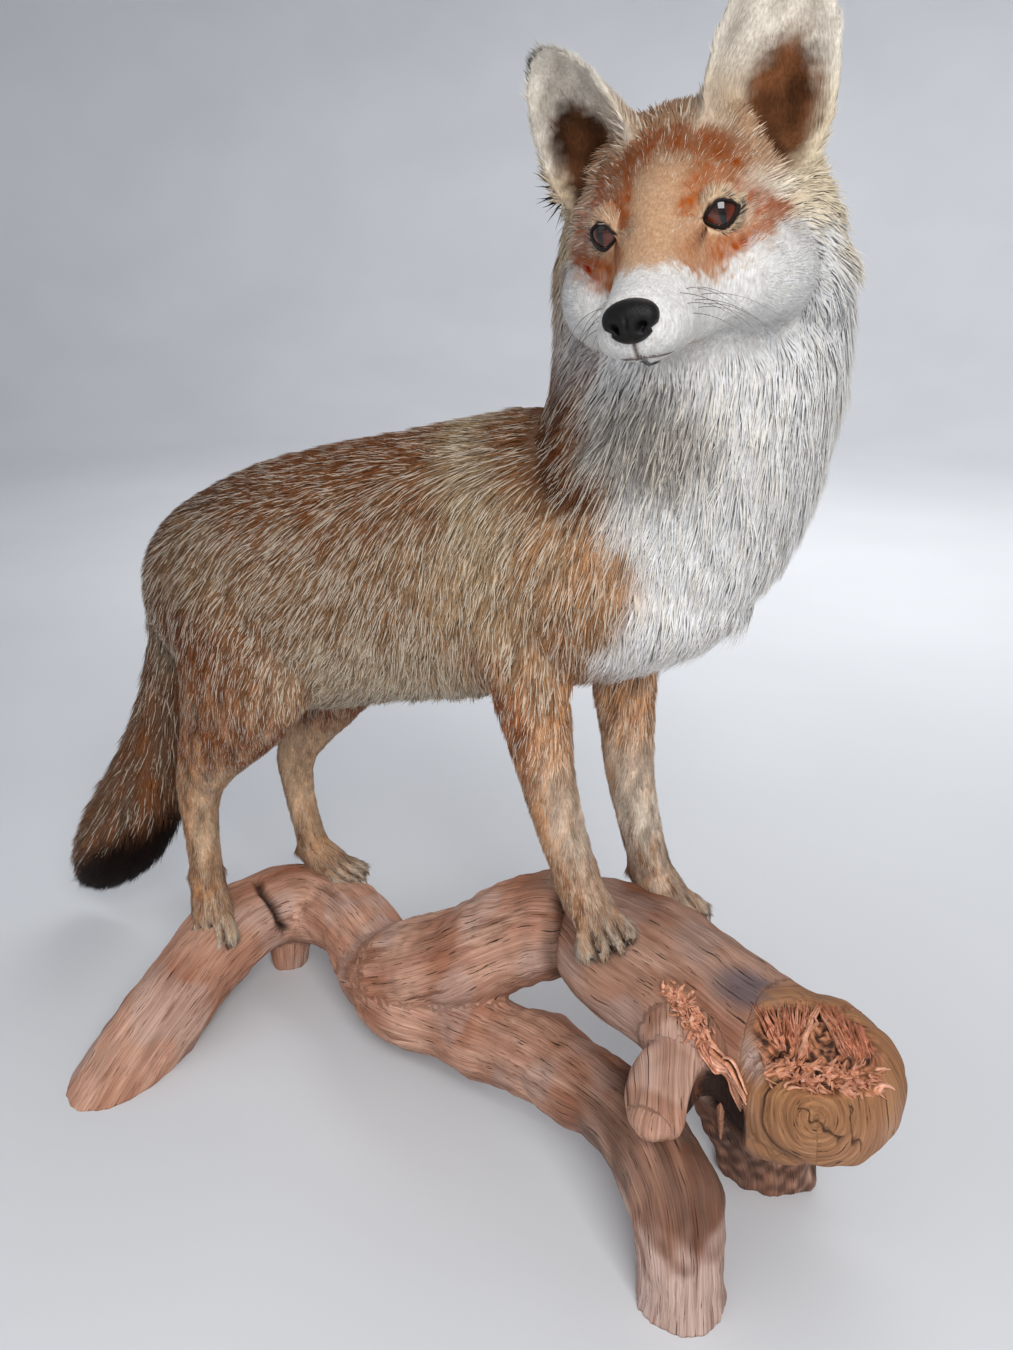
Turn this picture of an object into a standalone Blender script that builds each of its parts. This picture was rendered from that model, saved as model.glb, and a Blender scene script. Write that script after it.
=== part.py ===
"""Taxidermy red fox standing on a driftwood root, head turned to its right.

Axes while modelling: +X is the way the trunk points, +Y the fox's left, +Z up,
with the floor at Z = 0. place_origin() then moves everything so that the
middle of the footprint is at the world origin. Lengths are in metres.

The body is modelled whole as overlapping lofts, fused, and parted into named
nodes with thin cuts. The solids reach the tips of the coat.
"""
import math

import bmesh
import bpy
from mathutils import Matrix, Vector

# ---- driving dimensions -----------------------------------------------------
FOOTPRINT_CENTRE = Vector((-0.0502, -0.0619, 0.0))
GAP = 0.0004                 # free space between solids that meet
WOOD_GAP = 0.0007            # the same where the two pieces of driftwood meet
RING_POINTS = 28             # points round a lofted section
SPAN_STEPS = 4               # rings between two stations of a loft

BODY_VOXEL = 0.0045
BODY_SMOOTHING = 6
PAW_VOXEL = 0.0027
WOOD_VOXEL = 0.0055
BODY_TRIANGLES = 3150
FACE_GUARD = 0.0022          # how strongly the face keeps its triangles
GUARD_REACH = 0.13           # distance from the eyes at which that ends
PAW_TRIANGLES = 220
BRANCH_TRIANGLES = 760
ROOT_TRIANGLES = 620
FEWEST_CORNERS = 12          # a cut-off shell with fewer corners is debris
LEG_END_ROOM = 0.030         # half size of the block that ends a leg at its paw
LEG_SIDE_ROOM = 0.050        # half size of the block that ends a paw at its leg
FLOOR_BLOCK = Vector((0.6, 0.6, 0.2))       # half sizes of the block below the floor

# The head's own frame: origin midway between the eyes, then forward, left, up.
EYES_MIDDLE = Vector((0.1680, -0.0909, 0.5874))
HEAD_YAW = math.radians(-81.7)
HEAD_PITCH = math.radians(11.7)
HEAD_ROLL = math.radians(8.6)

EYE_RADIUS = 0.0098
EYE_CENTRE = Vector((-0.0055, 0.0236, -0.0005))
EYE_OPENING = Vector((0.0120, 0.0125, 0.0095))
GAZE_OUT = math.radians(25.0)
NOSE_CENTRE = Vector((0.0660, 0.0, -0.0275))
NOSE_RADII = Vector((0.0080, 0.0118, 0.0088))

# Trunk sections: x, top z, bottom z, half width.
TRUNK = [
    (-0.283, 0.352, 0.326, 0.012),
    (-0.276, 0.378, 0.308, 0.028),
    (-0.256, 0.401, 0.288, 0.045),
    (-0.225, 0.421, 0.266, 0.058),
    (-0.165, 0.447, 0.254, 0.068),
    (-0.100, 0.464, 0.270, 0.072),
    (-0.030, 0.479, 0.290, 0.075),
    (0.030, 0.492, 0.305, 0.075),
    (0.080, 0.500, 0.322, 0.076),
    (0.130, 0.490, 0.338, 0.073),
    (0.170, 0.465, 0.358, 0.062),
    (0.200, 0.435, 0.386, 0.030),
]

# Upright sections: x, y, z, half length along X, half width along Y.
NECK = [
    (0.100, 0.000, 0.375, 0.080, 0.062),
    (0.119, 0.000, 0.410, 0.092, 0.072),
    (0.137, 0.002, 0.450, 0.090, 0.074),
    (0.150, 0.003, 0.490, 0.084, 0.073),
    (0.155, 0.002, 0.530, 0.082, 0.070),
    (0.155, -0.006, 0.570, 0.078, 0.067),
    (0.153, -0.016, 0.602, 0.064, 0.058),
    (0.150, -0.024, 0.625, 0.040, 0.040),
]
FORELEG_RIGHT = [
    (0.058, -0.046, 0.415, 0.052, 0.030),
    (0.064, -0.048, 0.380, 0.036, 0.028),
    (0.077, -0.047, 0.345, 0.030, 0.024),
    (0.084, -0.046, 0.310, 0.0240, 0.0205),
    (0.092, -0.045, 0.275, 0.0202, 0.0182),
    (0.103, -0.045, 0.240, 0.0182, 0.0168),
    (0.113, -0.045, 0.215, 0.0172, 0.0165),
    (0.119, -0.045, 0.195, 0.0172, 0.0165),
]
FORELEG_LEFT = [
    (0.085, 0.042, 0.405, 0.048, 0.030),
    (0.095, 0.042, 0.370, 0.032, 0.026),
    (0.102, 0.040, 0.330, 0.0262, 0.0222),
    (0.108, 0.038, 0.290, 0.0212, 0.0192),
    (0.113, 0.037, 0.250, 0.0186, 0.0176),
    (0.122, 0.037, 0.213, 0.0170, 0.0162),
    (0.130, 0.037, 0.186, 0.0168, 0.0162),
    (0.134, 0.037, 0.168, 0.0168, 0.0162),
]
HINDLEG_RIGHT = [
    (-0.170, -0.026, 0.405, 0.040, 0.024),
    (-0.163, -0.040, 0.365, 0.060, 0.033),
    (-0.156, -0.048, 0.325, 0.063, 0.031),
    (-0.154, -0.051, 0.295, 0.060, 0.029),
    (-0.166, -0.052, 0.262, 0.052, 0.026),
    (-0.183, -0.052, 0.236, 0.040, 0.023),
    (-0.202, -0.051, 0.212, 0.029, 0.0195),
    (-0.214, -0.050, 0.190, 0.0210, 0.0165),
    (-0.217, -0.050, 0.160, 0.0162, 0.0150),
    (-0.217, -0.050, 0.125, 0.0152, 0.0146),
    (-0.217, -0.050, 0.100, 0.0160, 0.0152),
    (-0.217, -0.050, 0.085, 0.0160, 0.0152),
]
HINDLEG_LEFT = [
    (-0.172, 0.026, 0.400, 0.040, 0.024),
    (-0.165, 0.040, 0.355, 0.060, 0.033),
    (-0.158, 0.047, 0.305, 0.060, 0.030),
    (-0.160, 0.049, 0.262, 0.051, 0.026),
    (-0.174, 0.050, 0.230, 0.037, 0.022),
    (-0.191, 0.050, 0.204, 0.0265, 0.0185),
    (-0.203, 0.050, 0.180, 0.0195, 0.0158),
    (-0.202, 0.050, 0.150, 0.0154, 0.0142),
    (-0.196, 0.050, 0.120, 0.0148, 0.0140),
    (-0.189, 0.050, 0.097, 0.0156, 0.0150),
    (-0.186, 0.050, 0.082, 0.0156, 0.0150),
]

# Tail along its own path: x, y, z, half thickness.
TAIL = [
    (-0.246, 0.000, 0.352, 0.0230),
    (-0.270, 0.000, 0.330, 0.0250),
    (-0.277, -0.001, 0.295, 0.0245),
    (-0.287, -0.005, 0.250, 0.0255),
    (-0.302, -0.010, 0.200, 0.0310),
    (-0.324, -0.014, 0.148, 0.0385),
    (-0.350, -0.018, 0.106, 0.0405),
    (-0.375, -0.020, 0.076, 0.0350),
    (-0.395, -0.021, 0.053, 0.0240),
    (-0.407, -0.022, 0.038, 0.0110),
]

# Head sections in the head's frame: forward, top, bottom, half width, and how
# much wider the lower half is.
HEAD = [
    (0.0690, -0.0225, -0.0385, 0.0100, 0.00),
    (0.0655, -0.0185, -0.0430, 0.0150, 0.00),
    (0.0590, -0.0155, -0.0480, 0.0182, 0.05),
    (0.0490, -0.0135, -0.0505, 0.0200, 0.08),
    (0.0380, -0.0095, -0.0515, 0.0210, 0.10),
    (0.0270, -0.0020, -0.0525, 0.0212, 0.14),
    (0.0160, 0.0080, -0.0535, 0.0225, 0.20),
    (0.0050, 0.0165, -0.0550, 0.0285, 0.24),
    (-0.0060, 0.0235, -0.0570, 0.0380, 0.24),
    (-0.0170, 0.0300, -0.0600, 0.0490, 0.22),
    (-0.0300, 0.0375, -0.0640, 0.0585, 0.20),
    (-0.0440, 0.0440, -0.0670, 0.0665, 0.18),
    (-0.0580, 0.0455, -0.0680, 0.0705, 0.16),
    (-0.0720, 0.0400, -0.0660, 0.0670, 0.12),
    (-0.0870, 0.0270, -0.0580, 0.0510, 0.06),
    (-0.0960, 0.0080, -0.0420, 0.0270, 0.00),
]
# Soft forms added to the head: centre, radii (forward, left, up); mirrored.
HEAD_FORMS = [
    ((-0.0320, 0.0360, -0.0330), (0.0350, 0.0270, 0.0270)),
    ((-0.0600, 0.0420, -0.0390), (0.0340, 0.0340, 0.0330)),
    ((0.0530, 0.0105, -0.0345), (0.0135, 0.0100, 0.0105)),
]

# Ear base and tip in the head's frame; the left ear stands more upright.
EARS = {
    "ear_left": (1, (-0.0430, 0.0410, 0.0220), (-0.0550, 0.0590, 0.0980)),
    "ear_right": (-1, (-0.0430, 0.0410, 0.0210), (-0.0570, 0.0655, 0.0800)),
}
EAR_FACING = math.radians(28.0)
EAR_BURIED = 0.034
# Ear sections: share of the length, half width, opening half angle, thickness.
EAR = [
    (0.00, 0.0180, 52.0, 0.0070),
    (0.14, 0.0240, 58.0, 0.0070),
    (0.28, 0.0295, 68.0, 0.0070),
    (0.46, 0.0335, 72.0, 0.0070),
    (0.64, 0.0315, 64.0, 0.0066),
    (0.81, 0.0245, 56.0, 0.0060),
    (0.93, 0.0150, 48.0, 0.0054),
    (1.00, 0.0060, 42.0, 0.0046),
]

# Paws: leg axis at the cut, ball of the foot, middle toe tip, half spread.
PAWS = {
    "forepaw_right": ((0.1160, -0.0450, 0.2060), (0.1270, -0.0480, 0.1900),
                      (0.1400, -0.0535, 0.1750), 0.0195),
    "forepaw_left": ((0.1322, 0.0370, 0.1790), (0.1440, 0.0330, 0.1680),
                     (0.1680, 0.0235, 0.1560), 0.0185),
    "hindpaw_right": ((-0.2170, -0.0500, 0.1040), (-0.2090, -0.0560, 0.0870),
                      (-0.1960, -0.0690, 0.0650), 0.0185),
    "hindpaw_left": ((-0.1890, 0.0500, 0.0970), (-0.1740, 0.0500, 0.0880),
                     (-0.1450, 0.0490, 0.0800), 0.0170),
}
TOE_RADIUS = 0.0085
PALM_RADIUS = 0.0165
CLAW_LENGTH = 0.0085
CLAW_RADIUS = 0.0019

# Driftwood limbs along their paths: x, y, z, half width, half height.
WOOD_BACK_LIMB = [
    (-0.2150, -0.1820, -0.0250, 0.030, 0.032),
    (-0.2110, -0.1560, 0.0000, 0.031, 0.032),
    (-0.2070, -0.1180, 0.0250, 0.031, 0.031),
    (-0.2100, -0.0700, 0.0440, 0.032, 0.031),
    (-0.2100, -0.0250, 0.0560, 0.034, 0.032),
    (-0.1960, 0.0150, 0.0560, 0.036, 0.032),
    (-0.1660, 0.0320, 0.0520, 0.036, 0.031),
    (-0.1260, 0.0200, 0.0560, 0.034, 0.030),
    (-0.0860, 0.0020, 0.0520, 0.034, 0.032),
    (-0.0520, -0.0140, 0.0570, 0.036, 0.036),
]
WOOD_KNUCKLE = [
    (-0.1920, 0.0180, 0.0600, 0.030, 0.026),
    (-0.1950, 0.0160, 0.0350, 0.024, 0.022),
    (-0.1960, 0.0140, 0.0050, 0.017, 0.016),
    (-0.1960, 0.0130, -0.0200, 0.014, 0.013),
]
WOOD_HIGH_LIMB = [
    (-0.0900, -0.0020, 0.0400, 0.032, 0.028),
    (-0.0560, -0.0140, 0.0580, 0.036, 0.036),
    (-0.0010, -0.0190, 0.0900, 0.038, 0.036),
    (0.0430, -0.0190, 0.1230, 0.038, 0.037),
    (0.0810, -0.0170, 0.1500, 0.036, 0.036),
    (0.1000, -0.0160, 0.1560, 0.034, 0.033),
]
WOOD_LOW_LIMB = [
    (-0.0800, -0.0060, 0.0380, 0.030, 0.030),
    (-0.0500, -0.0190, 0.0400, 0.034, 0.033),
    (-0.0200, -0.0290, 0.0440, 0.032, 0.029),
    (0.0353, -0.0384, 0.0536, 0.030, 0.028),
    (0.0924, -0.0515, 0.0647, 0.029, 0.028),
    (0.1470, -0.0695, 0.0713, 0.027, 0.027),
    (0.1850, -0.0830, 0.0656, 0.027, 0.027),
    (0.2098, -0.1030, 0.0554, 0.027, 0.027),
    (0.2207, -0.1167, 0.0379, 0.026, 0.026),
    (0.2240, -0.1215, 0.0120, 0.025, 0.026),
    (0.2245, -0.1215, -0.0200, 0.024, 0.025),
]
WOOD_ROOT = [
    (0.0950, -0.0060, 0.1550, 0.032, 0.028),
    (0.1150, -0.0070, 0.1490, 0.047, 0.036),
    (0.1400, -0.0080, 0.1400, 0.052, 0.040),
    (0.1850, -0.0140, 0.1290, 0.052, 0.042),
    (0.2250, -0.0260, 0.1180, 0.051, 0.046),
    (0.2570, -0.0340, 0.1090, 0.050, 0.050),
    (0.2800, -0.0390, 0.1100, 0.044, 0.044),
]
WOOD_HEEL = [
    (0.2050, -0.0160, 0.1150, 0.032, 0.034),
    (0.2220, -0.0120, 0.0800, 0.030, 0.040),
    (0.2340, -0.0060, 0.0450, 0.028, 0.040),
    (0.2410, -0.0010, 0.0120, 0.025, 0.034),
    (0.2430, 0.0000, -0.0200, 0.024, 0.032),
]
WOOD_KNOB = ((0.2740, -0.0390, 0.1200), (0.0410, 0.0490, 0.0570))
WOOD_LOBE = ((0.1970, -0.0830, 0.1130), (0.0230, 0.0230, 0.0420))

# Cuts that part the fused body: point on the cut, its normal, half size.
CUTS = [
    ((0.155, -0.020, 0.548), (0.0, -0.42, 0.91), 0.120),
    ((0.135, 0.000, 0.4475), (0.61, 0.0, 0.79), 0.130),
    ((-0.280, -0.002, 0.278), (0.0, 0.0, 1.0), 0.0310),
    ((-0.362, -0.019, 0.091), (0.66, 0.05, 0.75), 0.060),
    ((0.084, -0.046, 0.3060), (0.0, 0.0, 1.0), 0.0290),
    ((0.106, 0.039, 0.3060), (0.0, 0.0, 1.0), 0.0270),
    ((-0.175, -0.058, 0.2440), (0.0, 0.0, 1.0), 0.0500),
    ((-0.168, 0.056, 0.2440), (0.0, 0.0, 1.0), 0.0500),
]
# A point inside or near each piece of the parted body, to name it by.
BODY_NODES = {
    "head": (0.170, -0.090, 0.600),
    "neck": (0.150, 0.000, 0.500),
    "trunk": (-0.060, 0.000, 0.390),
    "tail": (-0.315, -0.010, 0.180),
    "tail_tip": (-0.390, -0.020, 0.055),
    "foreleg_right": (0.095, -0.045, 0.260),
    "foreleg_left": (0.117, 0.037, 0.240),
    "hindleg_right": (-0.205, -0.050, 0.170),
    "hindleg_left": (-0.192, 0.050, 0.170),
}

COLOURS = {
    "back": (0.30, 0.15, 0.07, 1.0),
    "cheek": (0.62, 0.46, 0.30, 1.0),
    "chest": (0.62, 0.60, 0.56, 1.0),
    "leg": (0.42, 0.24, 0.12, 1.0),
    "tail": (0.17, 0.11, 0.07, 1.0),
    "dark": (0.02, 0.014, 0.012, 1.0),
    "ear": (0.45, 0.40, 0.33, 1.0),
    "glass": (0.05, 0.02, 0.01, 1.0),
    "nose": (0.02, 0.018, 0.018, 1.0),
    "wood": (0.36, 0.20, 0.12, 1.0),
}
NODE_COLOURS = {
    "head": "cheek", "neck": "chest", "trunk": "back", "tail": "tail",
    "tail_tip": "dark", "foreleg_right": "leg", "foreleg_left": "leg",
    "hindleg_right": "leg", "hindleg_left": "leg",
}


# ---- small tools ------------------------------------------------------------
def clear_scene():
    """Remove what is in the scene."""
    for obj in list(bpy.data.objects):
        bpy.data.objects.remove(obj, do_unlink=True)


def material(name, roughness=0.85):
    """The named plain colour as a material, made once."""
    if name in bpy.data.materials:
        return bpy.data.materials[name]
    made = bpy.data.materials.new(name)
    made.use_nodes = True
    shader = made.node_tree.nodes["Principled BSDF"]
    shader.inputs["Base Color"].default_value = COLOURS[name]
    shader.inputs["Roughness"].default_value = roughness
    shader.inputs["Metallic"].default_value = 0.0
    return made


def add_object(name, mesh):
    """Put a mesh in the scene under a name."""
    obj = bpy.data.objects.new(name, mesh)
    bpy.context.scene.collection.objects.link(obj)
    return obj


def coloured(obj, colour):
    """Give an object its one material."""
    obj.data.materials.clear()
    obj.data.materials.append(material(colour))
    return obj


def bake(obj):
    """Replace an object's mesh by its evaluated one and drop its modifiers."""
    graph = bpy.context.evaluated_depsgraph_get()
    graph.update()
    mesh = bpy.data.meshes.new_from_object(obj.evaluated_get(graph))
    obj.modifiers.clear()
    obj.data = mesh
    return obj


def smooth_rows(rows, steps=SPAN_STEPS):
    """Catmull-Rom rows through the given rows of numbers."""
    out = []
    last = len(rows) - 1
    for index in range(last):
        before, start = rows[max(index - 1, 0)], rows[index]
        end, after = rows[index + 1], rows[min(index + 2, last)]
        for step in range(steps):
            t = step / steps
            out.append(tuple(
                0.5 * (2 * b + (c - a) * t + (2 * a - 5 * b + 4 * c - d) * t * t
                       + (3 * b - a - 3 * c + d) * t ** 3)
                for a, b, c, d in zip(before, start, end, after)))
    out.append(tuple(rows[-1]))
    return out


def skin_rings(name, rings):
    """A closed mesh over rings of points, with a fan at each end."""
    mesh = bmesh.new()
    loops = [[mesh.verts.new(point) for point in ring] for ring in rings]
    for low, high in zip(loops, loops[1:]):
        count = len(low)
        for index in range(count):
            after = (index + 1) % count
            mesh.faces.new((low[index], low[after], high[after], high[index]))
    for loop, ring in ((loops[0], rings[0]), (loops[-1], rings[-1])):
        centre = mesh.verts.new(sum(ring, Vector()) / len(ring))
        for index in range(len(loop)):
            mesh.faces.new((loop[index], loop[(index + 1) % len(loop)], centre))
    bmesh.ops.recalc_face_normals(mesh, faces=mesh.faces)
    data = bpy.data.meshes.new(name)
    mesh.to_mesh(data)
    mesh.free()
    return add_object(name, data)


def oval(centre, side, rise, pear=0.0):
    """Points of an ellipse with two given half axes, wider below by a pear share."""
    turns = [2 * math.pi * index / RING_POINTS for index in range(RING_POINTS)]
    return [centre + side * (math.cos(turn) * (1 - pear * math.sin(turn)))
            + rise * math.sin(turn) for turn in turns]


def trunk_loft():
    """The trunk as upright sections along X."""
    rings = []
    for x, top, bottom, half in smooth_rows(TRUNK):
        centre = Vector((x, 0.0, (top + bottom) / 2))
        rise = Vector((0.0, 0.0, max(top - bottom, 0.002) / 2))
        rings.append(oval(centre, Vector((0.0, half, 0.0)), rise))
    return skin_rings("trunk_loft", rings)


def column_loft(name, stations):
    """A neck or a leg as level sections, one above the other."""
    rings = []
    for x, y, z, half_x, half_y in smooth_rows(stations):
        rings.append(oval(Vector((x, y, z)), Vector((half_x, 0, 0)), Vector((0, half_y, 0))))
    return skin_rings(name, rings)


def path_loft(name, stations):
    """A tail or a limb as sections square to its path."""
    rows = smooth_rows(stations)
    rings = []
    side = None
    for index, row in enumerate(rows):
        ahead = Vector(rows[min(index + 1, len(rows) - 1)][:3])
        behind = Vector(rows[max(index - 1, 0)][:3])
        along = (ahead - behind).normalized()
        if side is None:
            upright = Vector((0, 0, 1)) if abs(along.z) < 0.9 else Vector((1, 0, 0))
            side = along.cross(upright).normalized()
        side = (side - along * side.dot(along)).normalized()
        rise = side.cross(along)
        half_height = row[4] if len(row) > 4 else row[3]
        rings.append(oval(Vector(row[:3]), side * row[3], rise * half_height))
    return skin_rings(name, rings)


def ball(name, centre, radii, around=20, rings=12, turn=None):
    """An ellipsoid, turned by a 3 x 3 matrix when one is given."""
    mesh = bmesh.new()
    bmesh.ops.create_uvsphere(mesh, u_segments=around, v_segments=rings, radius=1.0)
    frame = turn.to_4x4() if turn else Matrix.Identity(4)
    place = Matrix.Translation(centre) @ frame @ Matrix.Diagonal((*radii, 1.0))
    bmesh.ops.transform(mesh, matrix=place, verts=mesh.verts)
    data = bpy.data.meshes.new(name)
    mesh.to_mesh(data)
    mesh.free()
    return add_object(name, data)


def join(name, objects):
    """Gather several objects' meshes into one object, and remove them."""
    mesh = bmesh.new()
    for obj in objects:
        mesh.from_mesh(obj.data)
        bpy.data.objects.remove(obj, do_unlink=True)
    data = bpy.data.meshes.new(name)
    mesh.to_mesh(data)
    mesh.free()
    return add_object(name, data)


def fuse(obj, voxel, smoothing):
    """Turn overlapping closed shapes into one smooth skin."""
    remesh = obj.modifiers.new("fuse", "REMESH")
    remesh.mode = "VOXEL"
    remesh.voxel_size = voxel
    smooth = obj.modifiers.new("smooth", "SMOOTH")
    smooth.factor = 0.5
    smooth.iterations = smoothing
    return bake(obj)


def thin_out(obj, triangles, guarded=None):
    """Reduce an object to about this many triangles, fewer away from a place."""
    faces = sum(len(face.vertices) - 2 for face in obj.data.polygons)
    decimate = obj.modifiers.new("thin", "DECIMATE")
    decimate.ratio = min(1.0, triangles / faces)
    decimate.use_collapse_triangulate = True
    if guarded:
        group = obj.vertex_groups.new(name="loose")
        for vertex in obj.data.vertices:
            group.add([vertex.index], 1.0 - FACE_GUARD * guarded(vertex.co), "REPLACE")
        decimate.vertex_group = "loose"
    bake(obj)
    obj.vertex_groups.clear()
    return obj


def boolean(obj, cutter, operation="DIFFERENCE"):
    """Cut an object by another, or unite them; the other is removed."""
    step = obj.modifiers.new("cut", "BOOLEAN")
    step.operation = operation
    step.solver = "EXACT"
    step.object = cutter
    bake(obj)
    bpy.data.objects.remove(cutter, do_unlink=True)
    return obj


def box(name, centre, halves, turn=None):
    """A box from its half sizes."""
    mesh = bmesh.new()
    bmesh.ops.create_cube(mesh, size=2.0)
    frame = turn.to_4x4() if turn else Matrix.Identity(4)
    place = Matrix.Translation(centre) @ frame @ Matrix.Diagonal((*halves, 1.0))
    bmesh.ops.transform(mesh, matrix=place, verts=mesh.verts)
    data = bpy.data.meshes.new(name)
    mesh.to_mesh(data)
    mesh.free()
    return add_object(name, data)


def slab(point, normal, half_size):
    """A thin square plate that parts what it crosses."""
    turn = Vector(normal).to_track_quat("Z", "Y").to_matrix()
    return box("slab", Vector(point), (half_size, half_size, GAP / 2), turn)


def swollen(obj, amount):
    """A copy of an object, grown outward along its normals."""
    mesh = bmesh.new()
    mesh.from_mesh(obj.data)
    mesh.normal_update()
    shifts = [(vertex, vertex.normal * amount) for vertex in mesh.verts]
    for vertex, shift in shifts:
        vertex.co += shift
    data = bpy.data.meshes.new("swollen")
    mesh.to_mesh(data)
    mesh.free()
    return add_object("swollen", data)


def islands(mesh):
    """The separate shells of a bmesh, as lists of faces."""
    left = set(mesh.faces)
    found = []
    while left:
        stack = [left.pop()]
        shell = []
        while stack:
            face = stack.pop()
            shell.append(face)
            for edge in face.edges:
                for other in edge.link_faces:
                    if other in left:
                        left.remove(other)
                        stack.append(other)
        found.append(shell)
    return found


def part_by_names(obj, names):
    """Make each shell of an object a node, named by the nearest given point."""
    mesh = bmesh.new()
    mesh.from_mesh(obj.data)
    pieces = {}
    for shell in islands(mesh):
        verts = {vertex for face in shell for vertex in face.verts}
        if len(verts) < FEWEST_CORNERS:
            continue
        centre = sum((vertex.co for vertex in verts), Vector()) / len(verts)
        name = min(names, key=lambda key: (Vector(names[key]) - centre).length)
        if name in pieces:
            raise ValueError(f"two pieces are nearest to {name}")
        data = bpy.data.meshes.new(name)
        piece = bmesh.new()
        copies = {vertex: piece.verts.new(vertex.co) for vertex in verts}
        for face in shell:
            piece.faces.new([copies[vertex] for vertex in face.verts])
        piece.to_mesh(data)
        piece.free()
        pieces[name] = coloured(add_object(name, data), NODE_COLOURS[name])
    mesh.free()
    bpy.data.objects.remove(obj, do_unlink=True)
    missing = set(names) - set(pieces)
    if missing:
        raise ValueError(f"the cuts left no piece for {sorted(missing)}")
    return pieces


# ---- the head's frame -------------------------------------------------------
def head_axes():
    """The head's forward, left and up directions."""
    cos_pitch = math.cos(HEAD_PITCH)
    forward = Vector((math.cos(HEAD_YAW) * cos_pitch, math.sin(HEAD_YAW) * cos_pitch,
                      -math.sin(HEAD_PITCH)))
    level_left = Vector((-math.sin(HEAD_YAW), math.cos(HEAD_YAW), 0.0))
    level_up = forward.cross(level_left)
    left = level_left * math.cos(HEAD_ROLL) + level_up * math.sin(HEAD_ROLL)
    return forward, left, forward.cross(left)


def head_turn():
    """Rotation from the head's frame to the world."""
    return Matrix(head_axes()).transposed()


def on_head(point, side=1):
    """World position of a point in the head's frame, mirrored when side is -1."""
    forward, left, up = head_axes()
    return EYES_MIDDLE + forward * point[0] + left * (point[1] * side) + up * point[2]


# ---- sub-parts --------------------------------------------------------------
def head_loft():
    """Skull, muzzle and cheeks in the head's frame."""
    _, left, up = head_axes()
    rings = []
    for ahead, top, bottom, half, pear in smooth_rows(HEAD):
        centre = on_head((ahead, 0.0, (top + bottom) / 2))
        rings.append(oval(centre, left * half, up * (top - bottom) / 2, pear))
    shapes = [skin_rings("head_loft", rings)]
    for centre, radii in HEAD_FORMS:
        for side in (1, -1):
            shapes.append(ball("form", on_head(centre, side), radii, turn=head_turn()))
    return shapes


def body():
    """The whole body without paws, ears, eyes and nose pad, fused."""
    shapes = [trunk_loft(), column_loft("neck_loft", NECK), path_loft("tail_loft", TAIL)]
    for stations in (FORELEG_RIGHT, FORELEG_LEFT, HINDLEG_RIGHT, HINDLEG_LEFT):
        shapes.append(column_loft("leg_loft", stations))
    shapes.extend(head_loft())
    fused = fuse(join("body", shapes), BODY_VOXEL, BODY_SMOOTHING)

    def guarded(point):
        nearness = 1.0 - (point - EYES_MIDDLE).length / GUARD_REACH
        return max(0.0, min(1.0, 2.0 * nearness))

    return thin_out(fused, BODY_TRIANGLES, guarded)


def parted_body():
    """The body cut into its named nodes, its legs ending at the paws."""
    whole = body()
    for ankle, *_ in PAWS.values():
        point = Vector(ankle)
        below = point - Vector((0.0, 0.0, LEG_END_ROOM - GAP / 2))
        boolean(whole, box("leg_end", below, [LEG_END_ROOM] * 3))
    plates = [slab(*cut) for cut in CUTS]
    for plate in plates:
        boolean(whole, plate)
    return part_by_names(whole, BODY_NODES)


def eyeball(name, side, growth=0.0):
    """A glass eye, or the socket it fills when it is grown."""
    radii = [EYE_RADIUS + growth] * 3
    return ball(name, on_head(EYE_CENTRE, side), radii, 14, 9, head_turn())


def eye_opening(side):
    """The hollow between the lids, in front of an eye."""
    gaze = Matrix.Rotation(side * GAZE_OUT, 3, "Z")
    ahead = EYE_CENTRE.copy()
    ahead.y *= side
    ahead += gaze @ Vector((EYE_OPENING.x * 0.8, 0.0, 0.0))
    return ball("opening", on_head(ahead), EYE_OPENING, 18, 12, head_turn() @ gaze)


def nose_pad(name, growth=0.0):
    """The bare nose pad, or the bed it fills when it is grown."""
    radii = [radius + growth for radius in NOSE_RADII]
    return ball(name, on_head(NOSE_CENTRE), radii, 12, 8, head_turn())


def ear(name, skull):
    """A cupped ear that opens forward and outward, cut to the skull."""
    side, base, tip = EARS[name]
    base, tip = on_head(base, side), on_head(tip, side)
    along = (tip - base).normalized()
    start = base - along * EAR_BURIED
    length = (tip - start).length
    forward, left, _ = head_axes()
    facing = forward * math.cos(EAR_FACING) + left * (side * math.sin(EAR_FACING))
    facing = (facing - along * facing.dot(along)).normalized()
    across = along.cross(facing)
    arc_points = 7
    rings = []
    for share, half, opening, thick in smooth_rows(EAR, 2):
        reach = math.radians(opening)
        radius = half / math.sin(reach)
        middle = start + along * (length * share) + facing * (radius * math.cos(reach))
        ring = []
        for wall, order in ((radius, 1), (radius - thick, -1)):
            for index in range(arc_points):
                turn = order * reach * (2 * index / (arc_points - 1) - 1)
                ring.append(middle + across * (wall * math.sin(turn))
                            - facing * (wall * math.cos(turn)))
        rings.append(ring)
    made = skin_rings(name, rings)
    boolean(made, swollen(skull, GAP))
    return coloured(made, "ear")


def claw(point, along, down):
    """One claw: a small cone bent toward the ground."""
    aim = (along * 0.75 + down * 0.66).normalized()
    mesh = bmesh.new()
    turn = aim.to_track_quat("Z", "Y").to_matrix().to_4x4()
    bmesh.ops.create_cone(mesh, cap_ends=True, segments=6, radius1=CLAW_RADIUS,
                          radius2=0.0005, depth=2 * CLAW_LENGTH)
    bmesh.ops.transform(mesh, matrix=Matrix.Translation(point) @ turn, verts=mesh.verts)
    data = bpy.data.meshes.new("claw")
    mesh.to_mesh(data)
    mesh.free()
    return add_object("claw", data)


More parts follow.
